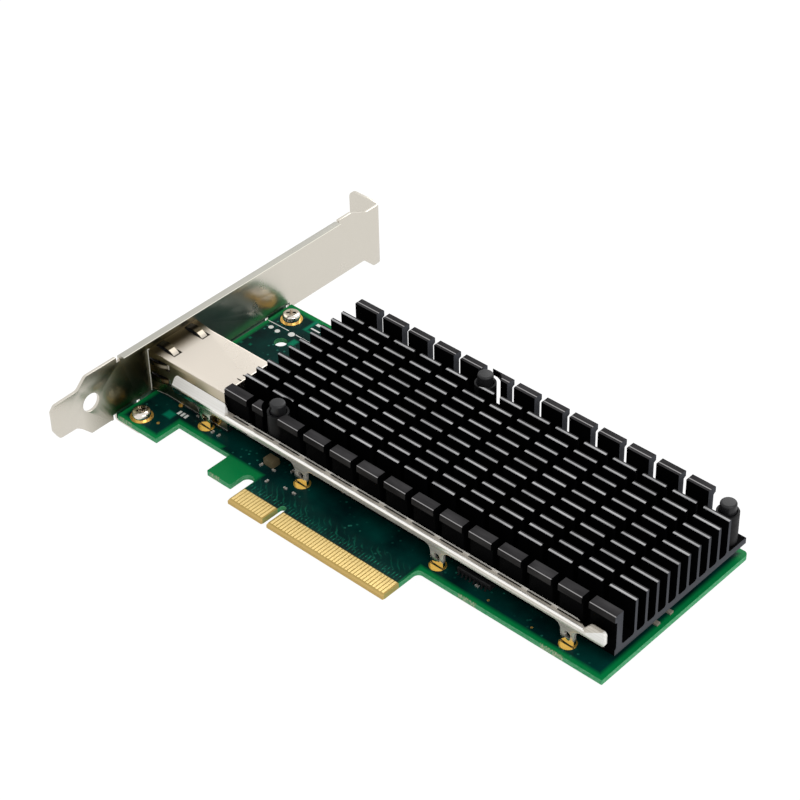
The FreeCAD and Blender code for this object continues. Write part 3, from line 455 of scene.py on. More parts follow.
def build_stripes():
    """1 on stripes that repeat along a line, 0 between them: First, Pitch, Width are lengths."""
    inputs = [("Along", "Float"), ("First", "Float"), ("Pitch", "Float"), ("Width", "Float")]
    tree, start, end = group_shell("stripes", inputs, [("Mask", "Float")])
    moved = minus(tree, start.outputs["Along"], start.outputs["First"])
    share = math_node(tree, "FRACT", math_node(tree, "DIVIDE", moved, start.outputs["Pitch"]))
    reach = times(tree, share, start.outputs["Pitch"])
    feed(tree, end.inputs["Mask"], math_node(tree, "LESS_THAN", reach, start.outputs["Width"]))
    return tree


patch_mask = build_patch_mask()
stripes = build_stripes()
grain = build_grain()
dots = build_dots()
facing = build_facing()


def speckle(tree, place, scale, low, high, stretch=(1, 1, 1)):
    """Noise between two values; a small stretch along an axis draws it out."""
    return place_group(tree, grain, Vector=place, Stretch=stretch, Scale=scale, Low=low, High=high)


def facing_along(tree, axis):
    normal = tree.nodes.new("ShaderNodeNewGeometry").outputs["Normal"]
    return place_group(tree, facing, Normal=normal, Axis=axis)


def new_material(name, colour, metallic, roughness, specular=0.5):
    """A material of plain values, with its tree, its shader and the Object coordinates."""
    material = bpy.data.materials.new(name)
    material.use_nodes = True
    tree = material.node_tree
    shader = tree.nodes["Principled BSDF"]
    shader.inputs["Base Color"].default_value = (*colour, 1.0)
    shader.inputs["Metallic"].default_value = metallic
    shader.inputs["Roughness"].default_value = roughness
    shader.inputs["Specular IOR Level"].default_value = specular
    place = tree.nodes.new("ShaderNodeTexCoord").outputs["Object"]
    return material, tree, shader, place


def any_of(tree, masks):
    """The largest of several masks."""
    whole = masks[0]
    for mask in masks[1:]:
        whole = larger(tree, whole, mask)
    return whole


def zone(tree, place, low, high, sharpness=CRISP):
    """Mask of an upright box between two corners given in millimetres."""
    low_corner, high_corner = [[value * MM for value in corner] for corner in (low, high)]
    return place_group(tree, patch_mask, Vector=place, Low=low_corner, High=high_corner,
                       Sharpness=sharpness)


def from_board(along, back):
    """A point on the board, in millimetres from its left edge and from the contact tips."""
    return board_low.x + along * MM, board_low.y + back * MM


def board_zone(tree, place, box, sharpness=2600.0):
    """Mask of a zone of the board, from left, front, right and back in millimetres."""
    left, front, right, back = box
    low = (*from_board(left, front), board_low.z - BOARD_COVER)
    high = (*from_board(right, back), board_top + BOARD_COVER)
    return place_group(tree, patch_mask, Vector=place, Low=low, High=high, Sharpness=sharpness)


def add_bump(tree, shader, height, strength, distance):
    bump = tree.nodes.new("ShaderNodeBump")
    bump.inputs["Strength"].default_value = strength
    bump.inputs["Distance"].default_value = distance
    feed(tree, bump.inputs["Height"], height)
    feed(tree, shader.inputs["Normal"], bump.outputs["Normal"])


def plain_finish(name, colour, metallic, roughness, specular=0.5):
    """A finish whose gloss wanders a little over the surface."""
    material, tree, shader, place = new_material(name, colour, metallic, roughness, specular)
    wander = speckle(tree, place, GLOSS_SCALE, roughness - GLOSS_SPREAD, roughness + GLOSS_SPREAD)
    feed(tree, shader.inputs["Roughness"], wander)
    return material


# ----------------------------------------------------------------- materials
def board_finish():
    """Green solder mask: bright over bare board, dark over copper, rough at snapped edges."""
    bare_green = (0.002, 0.21, 0.055)
    deep_teal, light_teal = (0.0006, 0.011, 0.012), (0.0006, 0.040, 0.033)
    trace_green, via_green = (0.008, 0.20, 0.115), (0.03, 0.24, 0.17)
    spot_green = (0.001, 0.20, 0.105)
    laminate_brown, laminate_tan = (0.42, 0.29, 0.075), (0.55, 0.40, 0.14)
    tip_tan = (0.62, 0.43, 0.15)
    edge_green, edge_pale = (0.03, 0.28, 0.11), (0.14, 0.42, 0.22)
    fibre_green, fibre_tan = (0.08, 0.16, 0.06), (0.62, 0.58, 0.42)
    material, tree, shader, place = new_material(
        "solder_mask_green", (0.004, 0.19, 0.052), 0.0, 0.28, 0.06)
    x, _, z = parts_of(tree, place)

    length = (board_high.x - board_low.x) / MM
    depth = (board_high.y - board_low.y) / MM
    pours = (
        (COPPER_LEFT, 13.3, length - COPPER_MARGIN, depth - COPPER_MARGIN),
        (COPPER_LEFT, 5.2, 14.2, depth - COPPER_MARGIN),
        COPPER_BEHIND_CONTACTS,
        COPPER_IN_ARM,
    )
    copper = any_of(tree, [board_zone(tree, place, pour, 900.0) for pour in pours])
    cloud = speckle(tree, place, 95.0, 0.0, 1.0)
    colour = mix_colours(tree, copper, bare_green, mix_colours(tree, cloud, deep_teal, light_teal))

    # fine traces that fan out from the contacts, and the short tails behind them
    waves = tree.nodes.new("ShaderNodeTexWave")
    waves.bands_direction = "DIAGONAL"
    waves.inputs["Scale"].default_value = 310.0
    waves.inputs["Distortion"].default_value = 5.0
    waves.inputs["Detail"].default_value = 1.5
    feed(tree, waves.inputs["Vector"], place)
    thin = math_node(tree, "GREATER_THAN", waves.outputs["Fac"], 0.86)
    fan = times(tree, thin, board_zone(tree, place, TRACE_FAN, 350.0))
    fan = times(tree, fan, speckle(tree, place, 300.0, -0.2, 0.9))
    strokes = place_group(tree, stripes, Along=x, First=0.1 * MM, Pitch=1.0 * MM, Width=0.3 * MM)
    tails = times(tree, strokes, board_zone(tree, place, CONTACT_TAILS, 900.0))
    tails = times(tree, tails, larger(tree, speckle(tree, place, 1100.0, -0.5, 1.2), 0.0))
    faint_fan = larger(tree, times(tree, fan, 0.5), 0.0)
    traces = smaller(tree, larger(tree, faint_fan, tails), 1.0)
    colour = mix_colours(tree, traces, colour, trace_green)

    # scattered vias, and bare spots in the copper that show as brighter green
    vias = place_group(tree, dots, Vector=place, Scale=420.0, Radius=0.13)
    vias = times(tree, vias, larger(tree, speckle(tree, place, 120.0, -0.9, 0.75), 0.0))
    colour = mix_colours(tree, times(tree, vias, copper), colour, via_green)
    spots = [zone(tree, place, (left, front, -PAST), (right, back, PAST), 1300.0)
             for left, front, right, back in BARE_SPOTS]
    colour = mix_colours(tree, any_of(tree, spots), colour, spot_green)

    # routed edges are pale green, and laminate shows between the contacts and on their tips
    below_top = math_node(tree, "LESS_THAN", z, board_top - 0.04 * MM)
    above_under = math_node(tree, "GREATER_THAN", z, board_low.z + 0.04 * MM)
    edge_mask = times(tree, below_top, above_under)
    weave = speckle(tree, place, 900.0, 0.0, 1.0, (1, 1, 4))
    colour = mix_colours(tree, edge_mask, colour, mix_colours(tree, weave, edge_green, edge_pale))
    laminate = mix_colours(tree, cloud, laminate_brown, laminate_tan)
    tongue = any_of(tree, [board_zone(tree, place, box) for box in (LEFT_TONGUE, RIGHT_TONGUE)])
    colour = mix_colours(tree, tongue, colour, laminate)
    colour = mix_colours(tree, board_zone(tree, place, TONGUE_TIPS), colour, tip_tan)

    # rough tan fibres where the panel was snapped apart
    snapped = any_of(tree, [board_zone(tree, place, box) for box in SNAPPED_EDGES])
    fibres = speckle(tree, place, 1400.0, -0.1, 1.1, (3, 1, 1))
    rough = mix_colours(tree, fibres, fibre_green, fibre_tan)
    snapped = larger(tree, times(tree, snapped, smaller(tree, fibres, 1.0)), 0.0)
    colour = mix_colours(tree, snapped, colour, rough)
    feed(tree, shader.inputs["Base Color"], colour)
    feed(tree, shader.inputs["Roughness"], plus(tree, times(tree, edge_mask, 0.4), 0.27))
    add_bump(tree, shader, plus(tree, times(tree, copper, 0.4), traces), 0.35, 0.03 * MM)
    return material


def anodised_finish():
    """Black anodising, with painted sheen on the fin tops, painted highlights and a painted lit
    band on the front edges, and paler sawn ends.
    """
    black = (0.0012, 0.0012, 0.0014)
    painted_sheen_dark, painted_sheen_pale = (0.028, 0.027, 0.028), (0.055, 0.053, 0.055)
    line_dark, line_pale = (0.30, 0.30, 0.305), (0.50, 0.50, 0.505)
    lit_band_dark, lit_band_pale = (0.085, 0.08, 0.08), (0.20, 0.19, 0.185)
    edge_highlight_grey, sawn_grey = (0.36, 0.35, 0.35), (0.075, 0.078, 0.088)
    material, tree, shader, place = new_material("black_anodising", black, 0.0, 0.5, 0.008)
    _, y, _ = parts_of(tree, place)
    looks_up = facing_along(tree, (0, 0, 1))
    looks_right = facing_along(tree, (1, 0, 0))
    left, front, low = [value / MM for value in sink_low]
    right, back, high = [value / MM for value in sink_high]

    def row(near, far, under, over=PAST, sharpness=CRISP):
        """A zone as long as the sink, between two heights measured from its top."""
        corners = (left - PAST, near, high + under), (right + PAST, far, high + over)
        return zone(tree, place, *corners, sharpness)

    # noise that varies the painted sheen and the painted highlights
    sheen_noise = speckle(tree, place, 420.0, 0.0, 1.0, (0.25, 1, 1))
    # painted sheen: the tops of the fins are painted paler where light glances off them
    tops = times(tree, row(front - PAST, back + PAST, -0.25), looks_up)
    colour = mix_colours(tree, tops, black, mix_colours(tree, sheen_noise, painted_sheen_dark, painted_sheen_pale))
    # the thin fins catch the light along the front half of their tops
    lines = place_group(tree, stripes, Along=y, First=(THIN_FIN_FIRST - 0.1) * MM,
                        Pitch=THIN_FIN_PITCH * MM, Width=0.62 * MM)
    lines = times(tree, row(front + 4.2, back - 4.2, -0.2), lines)
    colour = mix_colours(tree, lines, colour, mix_colours(tree, sheen_noise, line_dark, line_pale))
    # painted light: the front row gets a painted highlight on its upper edge over a painted lit
    # band that fades downwards into shade
    band = row(front - PAST, front + 0.25, -2.2, -0.1, 700.0)
    colour = mix_colours(tree, band, colour, mix_colours(tree, sheen_noise, lit_band_dark, lit_band_pale))
    # painted highlights along an upper edge of the front row and of the rear row
    front_highlight = row(front - PAST, front + 0.34, -0.22)
    rear_highlight = row(back - 2.2, back - 1.85, -0.22)
    colour = mix_colours(tree, larger(tree, front_highlight, rear_highlight), colour, edge_highlight_grey)
    # sawn ends that face right: the far end of the comb and the rear row
    far_corner = (right + PAST, back + PAST, high + PAST)
    right_end = zone(tree, place, (right - 0.3, front - PAST, low - PAST), far_corner)
    rear_row = zone(tree, place, (left - PAST, back - 3.4, low + 3.0), far_corner)
    sawn = times(tree, larger(tree, right_end, rear_row), looks_right)
    feed(tree, shader.inputs["Base Color"], mix_colours(tree, sawn, colour, sawn_grey))
    drawn = speckle(tree, place, 2600.0, 0.0, 1.0, (0.02, 1, 1))
    add_bump(tree, shader, drawn, 0.12, 0.02 * MM)
    return material


def shell_finish():
    """Satin tinned steel with painted shade on its side, under the bracket and in the slots round
    the spring fingers, and painted highlights on the lip and the lower edge.
    """
    tin, shaded_side_tin = (0.69, 0.63, 0.55), (0.36, 0.31, 0.20)
    shade_brown, slot_shade_brown, painted_highlight_pale = (0.15, 0.115, 0.055), (0.035, 0.028, 0.016), (0.82, 0.80, 0.72)
    material, tree, shader, place = new_material("shell_steel", tin, 1.0, 0.28)
    feed(tree, shader.inputs["Roughness"], speckle(tree, place, 70.0, 0.25, 0.32))
    left, front, low = [value / MM for value in jack_low]
    right, back, high = [value / MM for value in jack_high]

    def on_top(start, end, near, far):
        return zone(tree, place, (start, near, high - 2.4), (end, far, high + PAST), 5000.0)

    def on_side(start, end, under, over, sharpness=5000.0):
        return zone(tree, place, (start, front - PAST, under), (end, front + 1.4, over), sharpness)

    # painted shade: the side that faces the front is painted darker, and so is the end under the
    # bracket
    colour = mix_colours(tree, facing_along(tree, (0, -1, 0)), tin, shaded_side_tin)
    shade = zone(tree, place, (left - 20, front - 20, low - 20),
                 (left + 7.6, back + 20, high + 20), 200.0)
    colour = mix_colours(tree, times(tree, shade, 0.95), colour, shade_brown)
    # painted shade darkens the slots round the fingers; the fingers' tips are left out of it and
    # stay bright
    slots = [on_top(-58.8, FINGER_ROOT, near - 0.1, far + 0.1) for near, far in TOP_FINGERS]
    slots += [on_side(-58.5, FINGER_ROOT, low_edge - 0.1, high_edge + 0.1)
              for low_edge, high_edge in SIDE_FINGERS]
    tips = [on_top(-54.2, -52.2, near + 0.35, far - 0.35) for near, far in TOP_FINGERS]
    tips += [times(tree, on_side(-56.6, -52.3, low_edge + 0.5, high_edge - 0.45, 3000.0), 0.6)
             for low_edge, high_edge in SIDE_FINGERS]
    dark = times(tree, any_of(tree, slots), minus(tree, 1.0, any_of(tree, tips)))
    colour = mix_colours(tree, dark, colour, slot_shade_brown)
    # painted highlights on the flared lip and on the lower edge of the side
    lip_highlight = zone(tree, place, (left - PAST, front - PAST, -0.1),
               (left + 0.42, front + 0.9, high + PAST))
    hem_highlight = on_side(left + 2.0, right + PAST, 0.9, 1.13, CRISP)
    bright = larger(tree, lip_highlight, hem_highlight)
    feed(tree, shader.inputs["Base Color"], mix_colours(tree, bright, colour, painted_highlight_pale))
    feed(tree, shader.inputs["Metallic"], minus(tree, 1.0, bright))
    return material


def pressed_finish():
    """Pressed steel with painted shade on the folded flange, a painted highlight on its sheared
    edge, and a painted dark olive reflection on the inner face beside the board and the jack.
    """
    steel, shaded_flange_steel = (0.63, 0.595, 0.525), (0.47, 0.46, 0.41)
    edge_highlight_steel = (0.86, 0.84, 0.72)
    painted_reflection_olive, seam_green = (0.10, 0.10, 0.05), (0.012, 0.06, 0.03)
    material, tree, shader, place = new_material("pressed_steel", steel, 1.0, 0.3)
    feed(tree, shader.inputs["Roughness"], speckle(tree, place, 90.0, 0.27, 0.33))
    top = bracket_high.z / MM
    rim = FLANGE_EDGE + FLANGE_MORE - FLANGE_RIM
    # painted shade: the flange, which faces up, is painted darker than the plate
    flange = zone(tree, place, (-61.0, FLANGE_FRONT, top - PAST), (rim, FLANGE_REAR, top + PAST))
    colour = mix_colours(tree, flange, steel, shaded_flange_steel)
    # painted highlight along the flange's sheared edge
    sheared = zone(tree, place, (rim, FLANGE_FRONT, top - 0.3),
                   (rim + PAST, FLANGE_REAR, top + PAST))
    colour = mix_colours(tree, sheared, colour, edge_highlight_steel)
    # painted reflection: the inner face beside the board and the jack is painted dark olive
    board_jack_reflection = zone(tree, place, (-80, -6.0, -30), (-40, 34.0, 25.0), 90.0)
    board_jack_reflection = times(tree, board_jack_reflection, times(tree, facing_along(tree, (1, 0, 0)), 0.94))
    colour = mix_colours(tree, board_jack_reflection, colour, painted_reflection_olive)
    seam = zone(tree, place, (-59.2, 4.0, -1.8), (-58.5, 68.9, 0.35), 6000.0)
    feed(tree, shader.inputs["Base Color"], mix_colours(tree, seam, colour, seam_green))
    plain = larger(tree, sheared, times(tree, seam, 0.9))
    feed(tree, shader.inputs["Metallic"], minus(tree, 1.0, plain))
    return material


def rail_finish():
    """Drawn metal with polished legs and a satin flange, painted highlights on the bend, the rim,
    the head and the end corner, and painted reflections of the heat sink as dark breaks.
    """
    drawn_dark, drawn_pale = (0.58, 0.54, 0.46), (0.78, 0.75, 0.70)
    satin_dark, satin_pale = (0.50, 0.455, 0.38), (0.74, 0.69, 0.61)
    rail_highlight_dark, rail_highlight_pale = (0.86, 0.84, 0.79), (0.98, 0.97, 0.94)
    fold_highlight_white, rim_highlight_white = (0.98, 0.96, 0.92), (0.88, 0.85, 0.78)
    block_reflection_black = (0.02, 0.018, 0.015)
    material, tree, shader, place = new_material("bright_nickel", (0.76, 0.72, 0.66), 1.0, 0.24)
    x, _, z = parts_of(tree, place)
    back = rail_high.y / MM

    def strip(low, high, left=-60.0, right=100.0, front=15.0, rear=20.0, sharpness=6000.0):
        """A length of the rail between two heights."""
        return zone(tree, place, (left, front, low), (right, rear, high), sharpness)

    drawn = speckle(tree, place, 1.0, 0.0, 1.0, (25, 2600, 2600))
    colour = mix_colours(tree, drawn, drawn_dark, drawn_pale)
    satin = mix_colours(tree, drawn, satin_dark, satin_pale)
    flange = strip(7.05, 12.0)
    colour = mix_colours(tree, flange, colour, satin)
    # painted highlight on the leaning head at the left end
    head = strip(7.3, 12.0, right=RAIL_HEAD_END, sharpness=2500.0)
    end = strip(6.0, 12.0, left=RAIL_BAR_END, sharpness=1500.0)
    # painted highlight: only the lower corner of the upright end is painted bright; the rest of it
    # goes with the flange
    slope = times(tree, minus(tree, x, (RAIL_BAR_END - 0.4) * MM), 0.62)
    corner = math_node(tree, "LESS_THAN", minus(tree, z, 6.6 * MM), slope)
    colour = mix_colours(tree, end, colour, satin)
    bright = larger(tree, head, times(tree, end, corner))
    colour = mix_colours(tree, bright, colour, mix_colours(tree, drawn, rail_highlight_dark, rail_highlight_pale))
    # painted highlight along the bend
    fold = strip(7.0, 7.65, right=RAIL_BAR_END, rear=16.85)
    colour = mix_colours(tree, fold, colour, fold_highlight_white)
    # painted highlight along the flange's rear rim
    rim = strip(6.9, 8.0, RAIL_RIM_START, RAIL_BAR_END, back - 0.5, back + PAST, 9000.0)
    colour = mix_colours(tree, rim, colour, rim_highlight_white)
    # painted reflection of the heat sink's blocks: dark breaks just inside the rim, one between
    # each two cuts of the heat sink
    inside = strip(6.9, 8.0, RAIL_RIM_START, RAIL_BAR_END - 1.0, back - 0.95, back - 0.42, 12000.0)
    breaks = place_group(tree, stripes, Along=x, First=(CUT_FIRST + 1.2) * MM,
                         Pitch=CUT_PITCH * MM, Width=7.2 * MM)
    colour = mix_colours(tree, times(tree, inside, breaks), colour, block_reflection_black)
    feed(tree, shader.inputs["Base Color"], colour)
    # flange, end and upright face are partly satin, the fold is all metal
    covered = larger(tree, flange, end)
    front_face = strip(1.6, 9.0, left=-22.0, rear=18.0, sharpness=900.0)
    satin_share = larger(tree, times(tree, covered, 0.9), times(tree, front_face, 0.55))
    satin_share = times(tree, satin_share, minus(tree, 1.0, fold))
    feed(tree, shader.inputs["Metallic"], minus(tree, 1.0, satin_share))
    legs = strip(-4.0, 3.0, rear=18.0, sharpness=1500.0)
    rough = minus(tree, speckle(tree, place, 60.0, 0.17, 0.27), times(tree, legs, 0.13))
    feed(tree, shader.inputs["Roughness"], plus(tree, rough, times(tree, covered, 0.16)))
    add_bump(tree, shader, drawn, 0.03, 0.02 * MM)
    return material


def pad_finish():
    """Gold with a dark painted shadow line where the foot of each rail leg stands."""
    gold, foot_shadow_brown = (1.0, 0.63, 0.12), (0.03, 0.015, 0.004)
    material, tree, shader, place = new_material("slotted_gold", gold, 0.6, 0.22)
    foot = zone(tree, place, (-60, RAIL_FRONT - 0.3, -PAST), (100, RAIL_FRONT + 0.05, PAST), 9000.0)
    feed(tree, shader.inputs["Base Color"], mix_colours(tree, foot, gold, foot_shadow_brown))
    return material


def moulded_black():
    """Grainy black plastic of the pin caps."""
    colour = (0.012, 0.012, 0.013)
    material, tree, shader, place = new_material("moulded_black", colour, 0.0, 0.40, 0.30)
    add_bump(tree, shader, speckle(tree, place, 2400.0, 0.0, 1.0), 0.12, 0.02 * MM)
    return material


green_board = board_finish()
anodised_black = anodised_finish()
cap_plastic = moulded_black()
gold_plate = plain_finish("gold_plate", (0.80, 0.60, 0.25), 1.0, 0.38)
gold_pad = plain_finish("gold_pad", (0.92, 0.58, 0.15), 0.8, 0.24)
pressed_steel = pressed_finish()
shell_steel = shell_finish()
bright_nickel = rail_finish()
slotted_gold = pad_finish()
screw_nickel = plain_finish("screw_nickel", (0.74, 0.69, 0.62), 1.0, 0.13)
tin_plate = plain_finish("tin_plate", (0.82, 0.81, 0.79), 0.8, 0.32)
jack_plastic = plain_finish("jack_plastic", (0.012, 0.012, 0.013), 0.0, 0.45)
lamp_plastic = plain_finish("lamp_plastic", (0.55, 0.62, 0.50), 0.0, 0.25)
pin_plastic = plain_finish("pin_plastic", (0.006, 0.006, 0.0065), 0.0, 0.55, 0.18)
chip_substrate = plain_finish("chip_substrate", (0.02, 0.12, 0.05), 0.0, 0.40)
lid_nickel = plain_finish("lid_nickel", (0.55, 0.54, 0.52), 1.0, 0.35)
thermal_rubber = plain_finish("thermal_rubber", (0.42, 0.42, 0.44), 0.0, 0.80)
capacitor_tan = plain_finish("capacitor_tan", (0.12, 0.095, 0.05), 0.0, 0.45)
ferrite_grey = plain_finish("ferrite_grey", (0.045, 0.045, 0.048), 0.0, 0.60)
chip_epoxy = plain_finish("chip_epoxy", (0.009, 0.009, 0.0095), 0.0, 0.62, 0.25)
passive_body = plain_finish("passive_body", (0.30, 0.27, 0.22), 0.0, 0.50)
white_ink = plain_finish("white_ink", (0.80, 0.82, 0.79), 0.0, 0.55)

node_finishes = {
    "edge_contacts_top": gold_plate,
    "edge_contacts_under": gold_plate,
    "screw_pads": gold_pad,
    "rail_pads": slotted_gold,
    "jack_housing": jack_plastic,
    "jack_contacts": gold_plate,
    "jack_lamps": lamp_plastic,
    "jack_magnetics": jack_plastic,
    "jack_pins": tin_plate,
    "controller_base": chip_substrate,
    "controller_lid": lid_nickel,
    "thermal_pad": thermal_rubber,
    "ceramic_capacitors": capacitor_tan,
    "power_inductors": ferrite_grey,
    "regulator_chips": chip_epoxy,
    "flash_chip": chip_epoxy,
    "rail_side_chip": chip_epoxy,
    "crystal_can": lid_nickel,
    "chip_passives": passive_body,
    "underside_passives": passive_body,
}
for node_name, finish in node_finishes.items():
    node_mesh = nodes[node_name].data
    node_mesh.materials.clear()
    node_mesh.materials.append(finish)

# -------------------------------------------------------------- main pieces
soften_node("circuit_board", "board_panel", EDGE_SHARP, green_board, 1)
soften_node("heat_sink", "finned_sink", EDGE_EXTRUDED, anodised_black, 2)
soften_node("bracket", "pressed_bracket", EDGE_PRESSED, pressed_steel, 2,
            widen_flange)
soften_node("jack_shield", "jack_shell", EDGE_SHARP, shell_steel, 1)
soften_node("stiffener_rail", "bright_rail", EDGE_PRESSED, bright_nickel)
soften_node("push_pins", "pin_caps", EDGE_MOULDED, cap_plastic, 3)
soften_node("pin_sleeves", "pin_cups", EDGE_SHARP, pin_plastic, 1)


# -------------------------------------------------------------------- screws
def solid_centres(node):
    """Plan centres of the separate solids of a node, from front to rear."""
    copy = copy_of_node(node, "centre_probe")
    waiting = set(bmesh.from_edit_mesh(copy.data).verts)
    centres = []
    while waiting:
        island = [waiting.pop()]
        for vert in island:
            for edge in vert.link_edges:
                other = edge.other_vert(vert)
                if other in waiting:
                    waiting.remove(other)
                    island.append(other)
        xs = [vert.co.x for vert in island]
        ys = [vert.co.y for vert in island]
        centres.append(((min(xs) + max(xs)) / 2, (min(ys) + max(ys)) / 2))
    leave()
    bpy.data.objects.remove(copy)
    return sorted(centres, key=lambda centre: centre[1])


def cross_cutter(x, y, top):
    """Two crossed wedges that taper downwards, for the recess in a screw head."""
    arms = []
    for long_x, long_y in ((RECESS_LONG, RECESS_WIDE), (RECESS_WIDE, RECESS_LONG)):
        bpy.ops.mesh.primitive_cube_add(size=1, location=(x, y, top))
        arm = bpy.context.active_object
        arm.scale = (long_x, long_y, 2 * RECESS_DEEP)
        set_in_mesh(arm)
        edit(arm)
        pick_faces(arm, lambda face: face.normal.z < -0.5)
        bpy.ops.transform.resize(value=(RECESS_TAPER, RECESS_TAPER, 1), center_override=(x, y, top))
        leave()
        arms.append(arm)
    modify(arms[0], "BOOLEAN", operation="UNION", object=arms[1], solver="EXACT")
    bpy.data.objects.remove(arms[1])
    return arms[0]


def bracket_screw(x, y, turn):
    """Domed head with a cross recess and a plain shank, standing on its pad."""
    head_r = (screws_high.x - screws_low.x) / 2
    top = screws_high.z
    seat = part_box("screw_pads")[1].z
    high = top - seat
    bpy.ops.mesh.primitive_cylinder_add(vertices=SCREW_SIDES, radius=head_r, depth=high,
                                        location=(x, y, seat + high / 2))
    screw = bpy.context.active_object
    set_in_mesh(screw)
    edit(screw)
    # shrinking steps round the top over into a low dome
    pick_faces(screw, lambda face: face.normal.z > 0.9)
    bpy.ops.transform.translate(value=(0, 0, -SCREW_DOME_DROP))
    for inset, rise in SCREW_DOME_STEPS:
        bpy.ops.mesh.inset(thickness=inset * MM)
        bpy.ops.transform.translate(value=(0, 0, rise * MM))
    pick_faces(screw, lambda face: face.normal.z < -0.9)
    bpy.ops.mesh.inset(thickness=head_r - SCREW_SHANK_R)
    bpy.ops.mesh.extrude_region_move(TRANSFORM_OT_translate={"value": (0, 0, screws_low.z - seat)})
    leave()
    cutter = cross_cutter(x, y, top)
    turn_all(cutter, turn, (x, y, top))
    modify(screw, "BOOLEAN", operation="DIFFERENCE", object=cutter, solver="EXACT")
    bpy.data.objects.remove(cutter)
    smooth(screw, 35)
    return screw


screw_places = solid_centres("bracket_screws")
screws = [bracket_screw(x, y, turn) for (x, y), turn in zip(screw_places, SCREW_TURNS)]
settle(join_pieces(screws), "cross_screws", screw_nickel, ("bracket_screws",))


# --------------------------------------------------------------- board print
def raise_ink(mark):
    """Draw a flat mark up into a thin closed layer."""
    edit(mark)
    bpy.ops.mesh.select_all(action="SELECT")
    bpy.ops.mesh.extrude_region_move(TRANSFORM_OT_translate={"value": (0, 0, INK_HIGH)})
    bpy.ops.mesh.select_all(action="SELECT")
    bpy.ops.mesh.normals_make_consistent(inside=False)
    leave()
    return mark


def ink_disc(along, back, radius):
    centre = (*from_board(along, back), board_top)
    bpy.ops.mesh.primitive_circle_add(vertices=DISC_SIDES, radius=radius * MM, fill_type="NGON",
                                      location=centre)
    return raise_ink(bpy.context.active_object)


def ink_bar(along, back, length, width, turn=0.0):
    centre = (*from_board(along, back), board_top)
    bpy.ops.mesh.primitive_plane_add(size=1, location=centre, rotation=(0, 0, turn))
    mark = bpy.context.active_object
    mark.scale = (length * MM, width * MM, 1)
    set_in_mesh(mark)
    return raise_ink(mark)


# white outlines, dots and bars of the component print
marks = [ink_disc(*disc) for disc in PRINT_DISCS] + [ink_bar(*bar) for bar in PRINT_BARS]
settle(join_pieces(marks), "printed_marks", white_ink)

# bare gold test points beside the contacts, the screw and the jack
probes = [ink_disc(*disc) for disc in PROBE_DISCS]
settle(join_pieces(probes), "probe_points", gold_pad)


# ------------------------------------------------------------ small resistors
def tiny_resistor(along, back, turn):
    """Body with two soldered end caps: a cube whose end faces are drawn out and flared."""
    x, y = from_board(along, back)
    base = (x, y, board_top)
    cap = RESISTOR_LONG * 0.25
    bpy.ops.mesh.primitive_cube_add(size=1, location=(x, y, board_top + RESISTOR_HIGH / 2))
    chip = bpy.context.active_object
    chip.scale = (RESISTOR_LONG - 2 * cap, RESISTOR_WIDE * 0.94, RESISTOR_HIGH)
    set_in_mesh(chip)
    chip.data.materials.append(passive_body)
    chip.data.materials.append(tin_plate)
    edit(chip)
    for way in (-1, 1):
        pick_faces(chip, lambda face: face.normal.x * way > 0.9)
        bpy.ops.mesh.extrude_region_move(TRANSFORM_OT_translate={"value": (way * 0.02 * MM, 0, 0)})
        bpy.ops.transform.resize(value=(1, 1.1, 1.06), center_override=base)
        bpy.ops.mesh.extrude_region_move(TRANSFORM_OT_translate={"value": (way * cap, 0, 0)})
    pick_faces(chip, lambda face: abs(face.calc_center_median().x - x) > cap)
    chip.active_material_index = 1
    bpy.ops.object.material_slot_assign()
    turn_all(chip, turn, base)
    modify(chip, "BEVEL", width=EDGE_RESISTOR, segments=2, limit_method="ANGLE")
    return chip


resistors = [tiny_resistor(*place) for place in RESISTOR_PLACES]
settle(join_pieces(resistors), "small_resistors", None)


# -------------------------------------------------------------------- stage
def floor_material():
    """Pale floor that keeps the card's shadow and looks white to the camera and to glossy metal."""
    material = bpy.data.materials.new("pale_floor")
    material.use_nodes = True
    tree = material.node_tree
    shader = tree.nodes["Principled BSDF"]
    shader.inputs["Base Color"].default_value = (FLOOR_GREY, FLOOR_GREY, FLOOR_GREY, 1.0)
    shader.inputs["Roughness"].default_value = 0.9
    shader.inputs["Specular IOR Level"].default_value = 0.0
    glow = tree.nodes.new("ShaderNodeEmission")
    glow.inputs["Strength"].default_value = FLOOR_GLOW
    blend = tree.nodes.new("ShaderNodeMixShader")
    feed(tree, blend.inputs[0], times(tree, seen_directly(tree), FLOOR_GLOW_SHARE))
    tree.links.new(shader.outputs[0], blend.inputs[1])
    tree.links.new(glow.outputs[0], blend.inputs[2])
    tree.links.new(blend.outputs[0], tree.nodes["Material Output"].inputs["Surface"])
    return material


def seen_directly(tree):
    """1 for camera, glossy and transmission rays, and 0 for the rays that light things."""
    path = tree.nodes.new("ShaderNodeLightPath")
    seen = larger(tree, path.outputs["Is Camera Ray"], path.outputs["Is Glossy Ray"])
    return larger(tree, seen, path.outputs["Is Transmission Ray"])


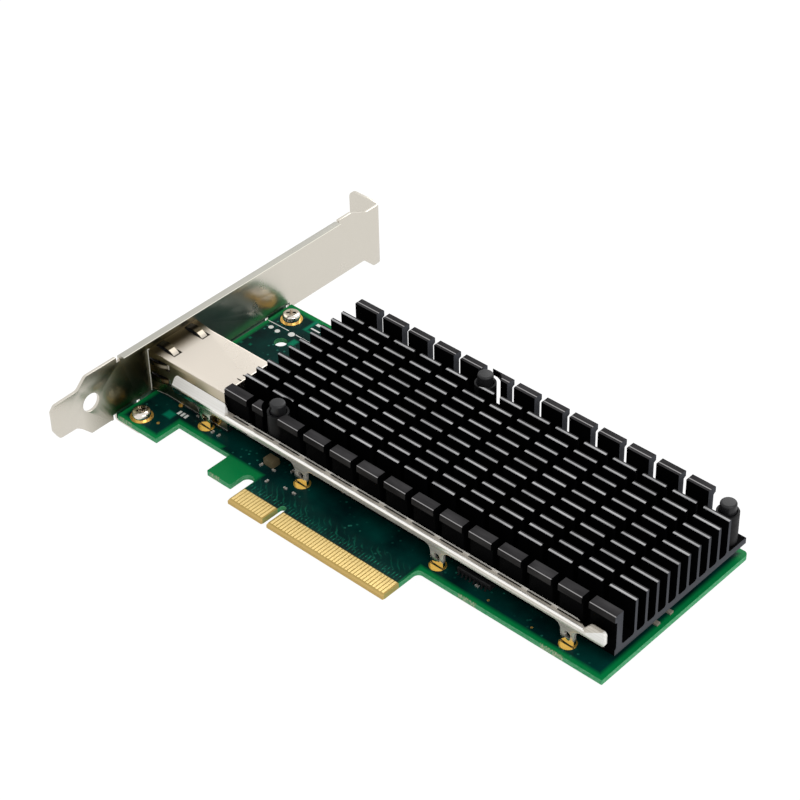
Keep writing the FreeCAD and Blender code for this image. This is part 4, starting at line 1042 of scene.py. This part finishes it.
def build_floor():
    clear_selection()
    under_card = (0, 0, cad_bounds[0].z - FLOOR_GAP)
    bpy.ops.mesh.primitive_plane_add(size=2 * FLOOR_HALF, location=under_card)
    floor = bpy.context.active_object
    floor.name = "floor"
    floor.data.materials.append(floor_material())


def build_world():
    world = bpy.data.worlds.new("studio")
    bpy.context.scene.world = world
    world.use_nodes = True
    tree = world.node_tree
    background = tree.nodes["Background"]
    background.inputs["Color"].default_value = (1, 1, 1, 1)
    extra = times(tree, seen_directly(tree), 1.0 - LIGHT_LEVEL)
    feed(tree, background.inputs["Strength"], plus(tree, extra, LIGHT_LEVEL))


def soft_lamp(name, place, side, watts):
    """A square lamp aimed at the middle of the card."""
    lamp = bpy.data.lights.new(name, "AREA")
    lamp.shape = "SQUARE"
    lamp.size = side
    lamp.energy = watts
    holder = bpy.data.objects.new(name, lamp)
    bpy.context.scene.collection.objects.link(holder)
    holder.location = place
    aim = Vector(LAMP_AIM) - Vector(place)
    holder.rotation_euler = aim.to_track_quat("-Z", "Y").to_euler()


def build_camera():
    """The viewpoint, by its bearing, height, roll and place."""
    flat = math.cos(VIEW_HEIGHT)
    away = Vector((math.sin(VIEW_BEARING) * flat, -math.cos(VIEW_BEARING) * flat,
                   math.sin(VIEW_HEIGHT)))
    level = (-away).cross(Vector((0, 0, 1))).normalized()
    upright = level.cross(-away)
    right = level * math.cos(VIEW_ROLL) + upright * math.sin(VIEW_ROLL)
    up = upright * math.cos(VIEW_ROLL) - level * math.sin(VIEW_ROLL)
    lens = bpy.data.cameras.new("viewpoint")
    lens.lens = VIEW_LENS
    lens.sensor_width = VIEW_SENSOR
    camera = bpy.data.objects.new("viewpoint", lens)
    bpy.context.scene.collection.objects.link(camera)
    turn = Matrix((right, up, away)).transposed().to_4x4()
    camera.matrix_world = Matrix.Translation(VIEW_PLACE) @ turn
    bpy.context.scene.camera = camera


build_floor()
build_world()
for lamp in LAMPS:
    soft_lamp(*lamp)
build_camera()
bpy.context.scene.view_settings.view_transform = "Standard"
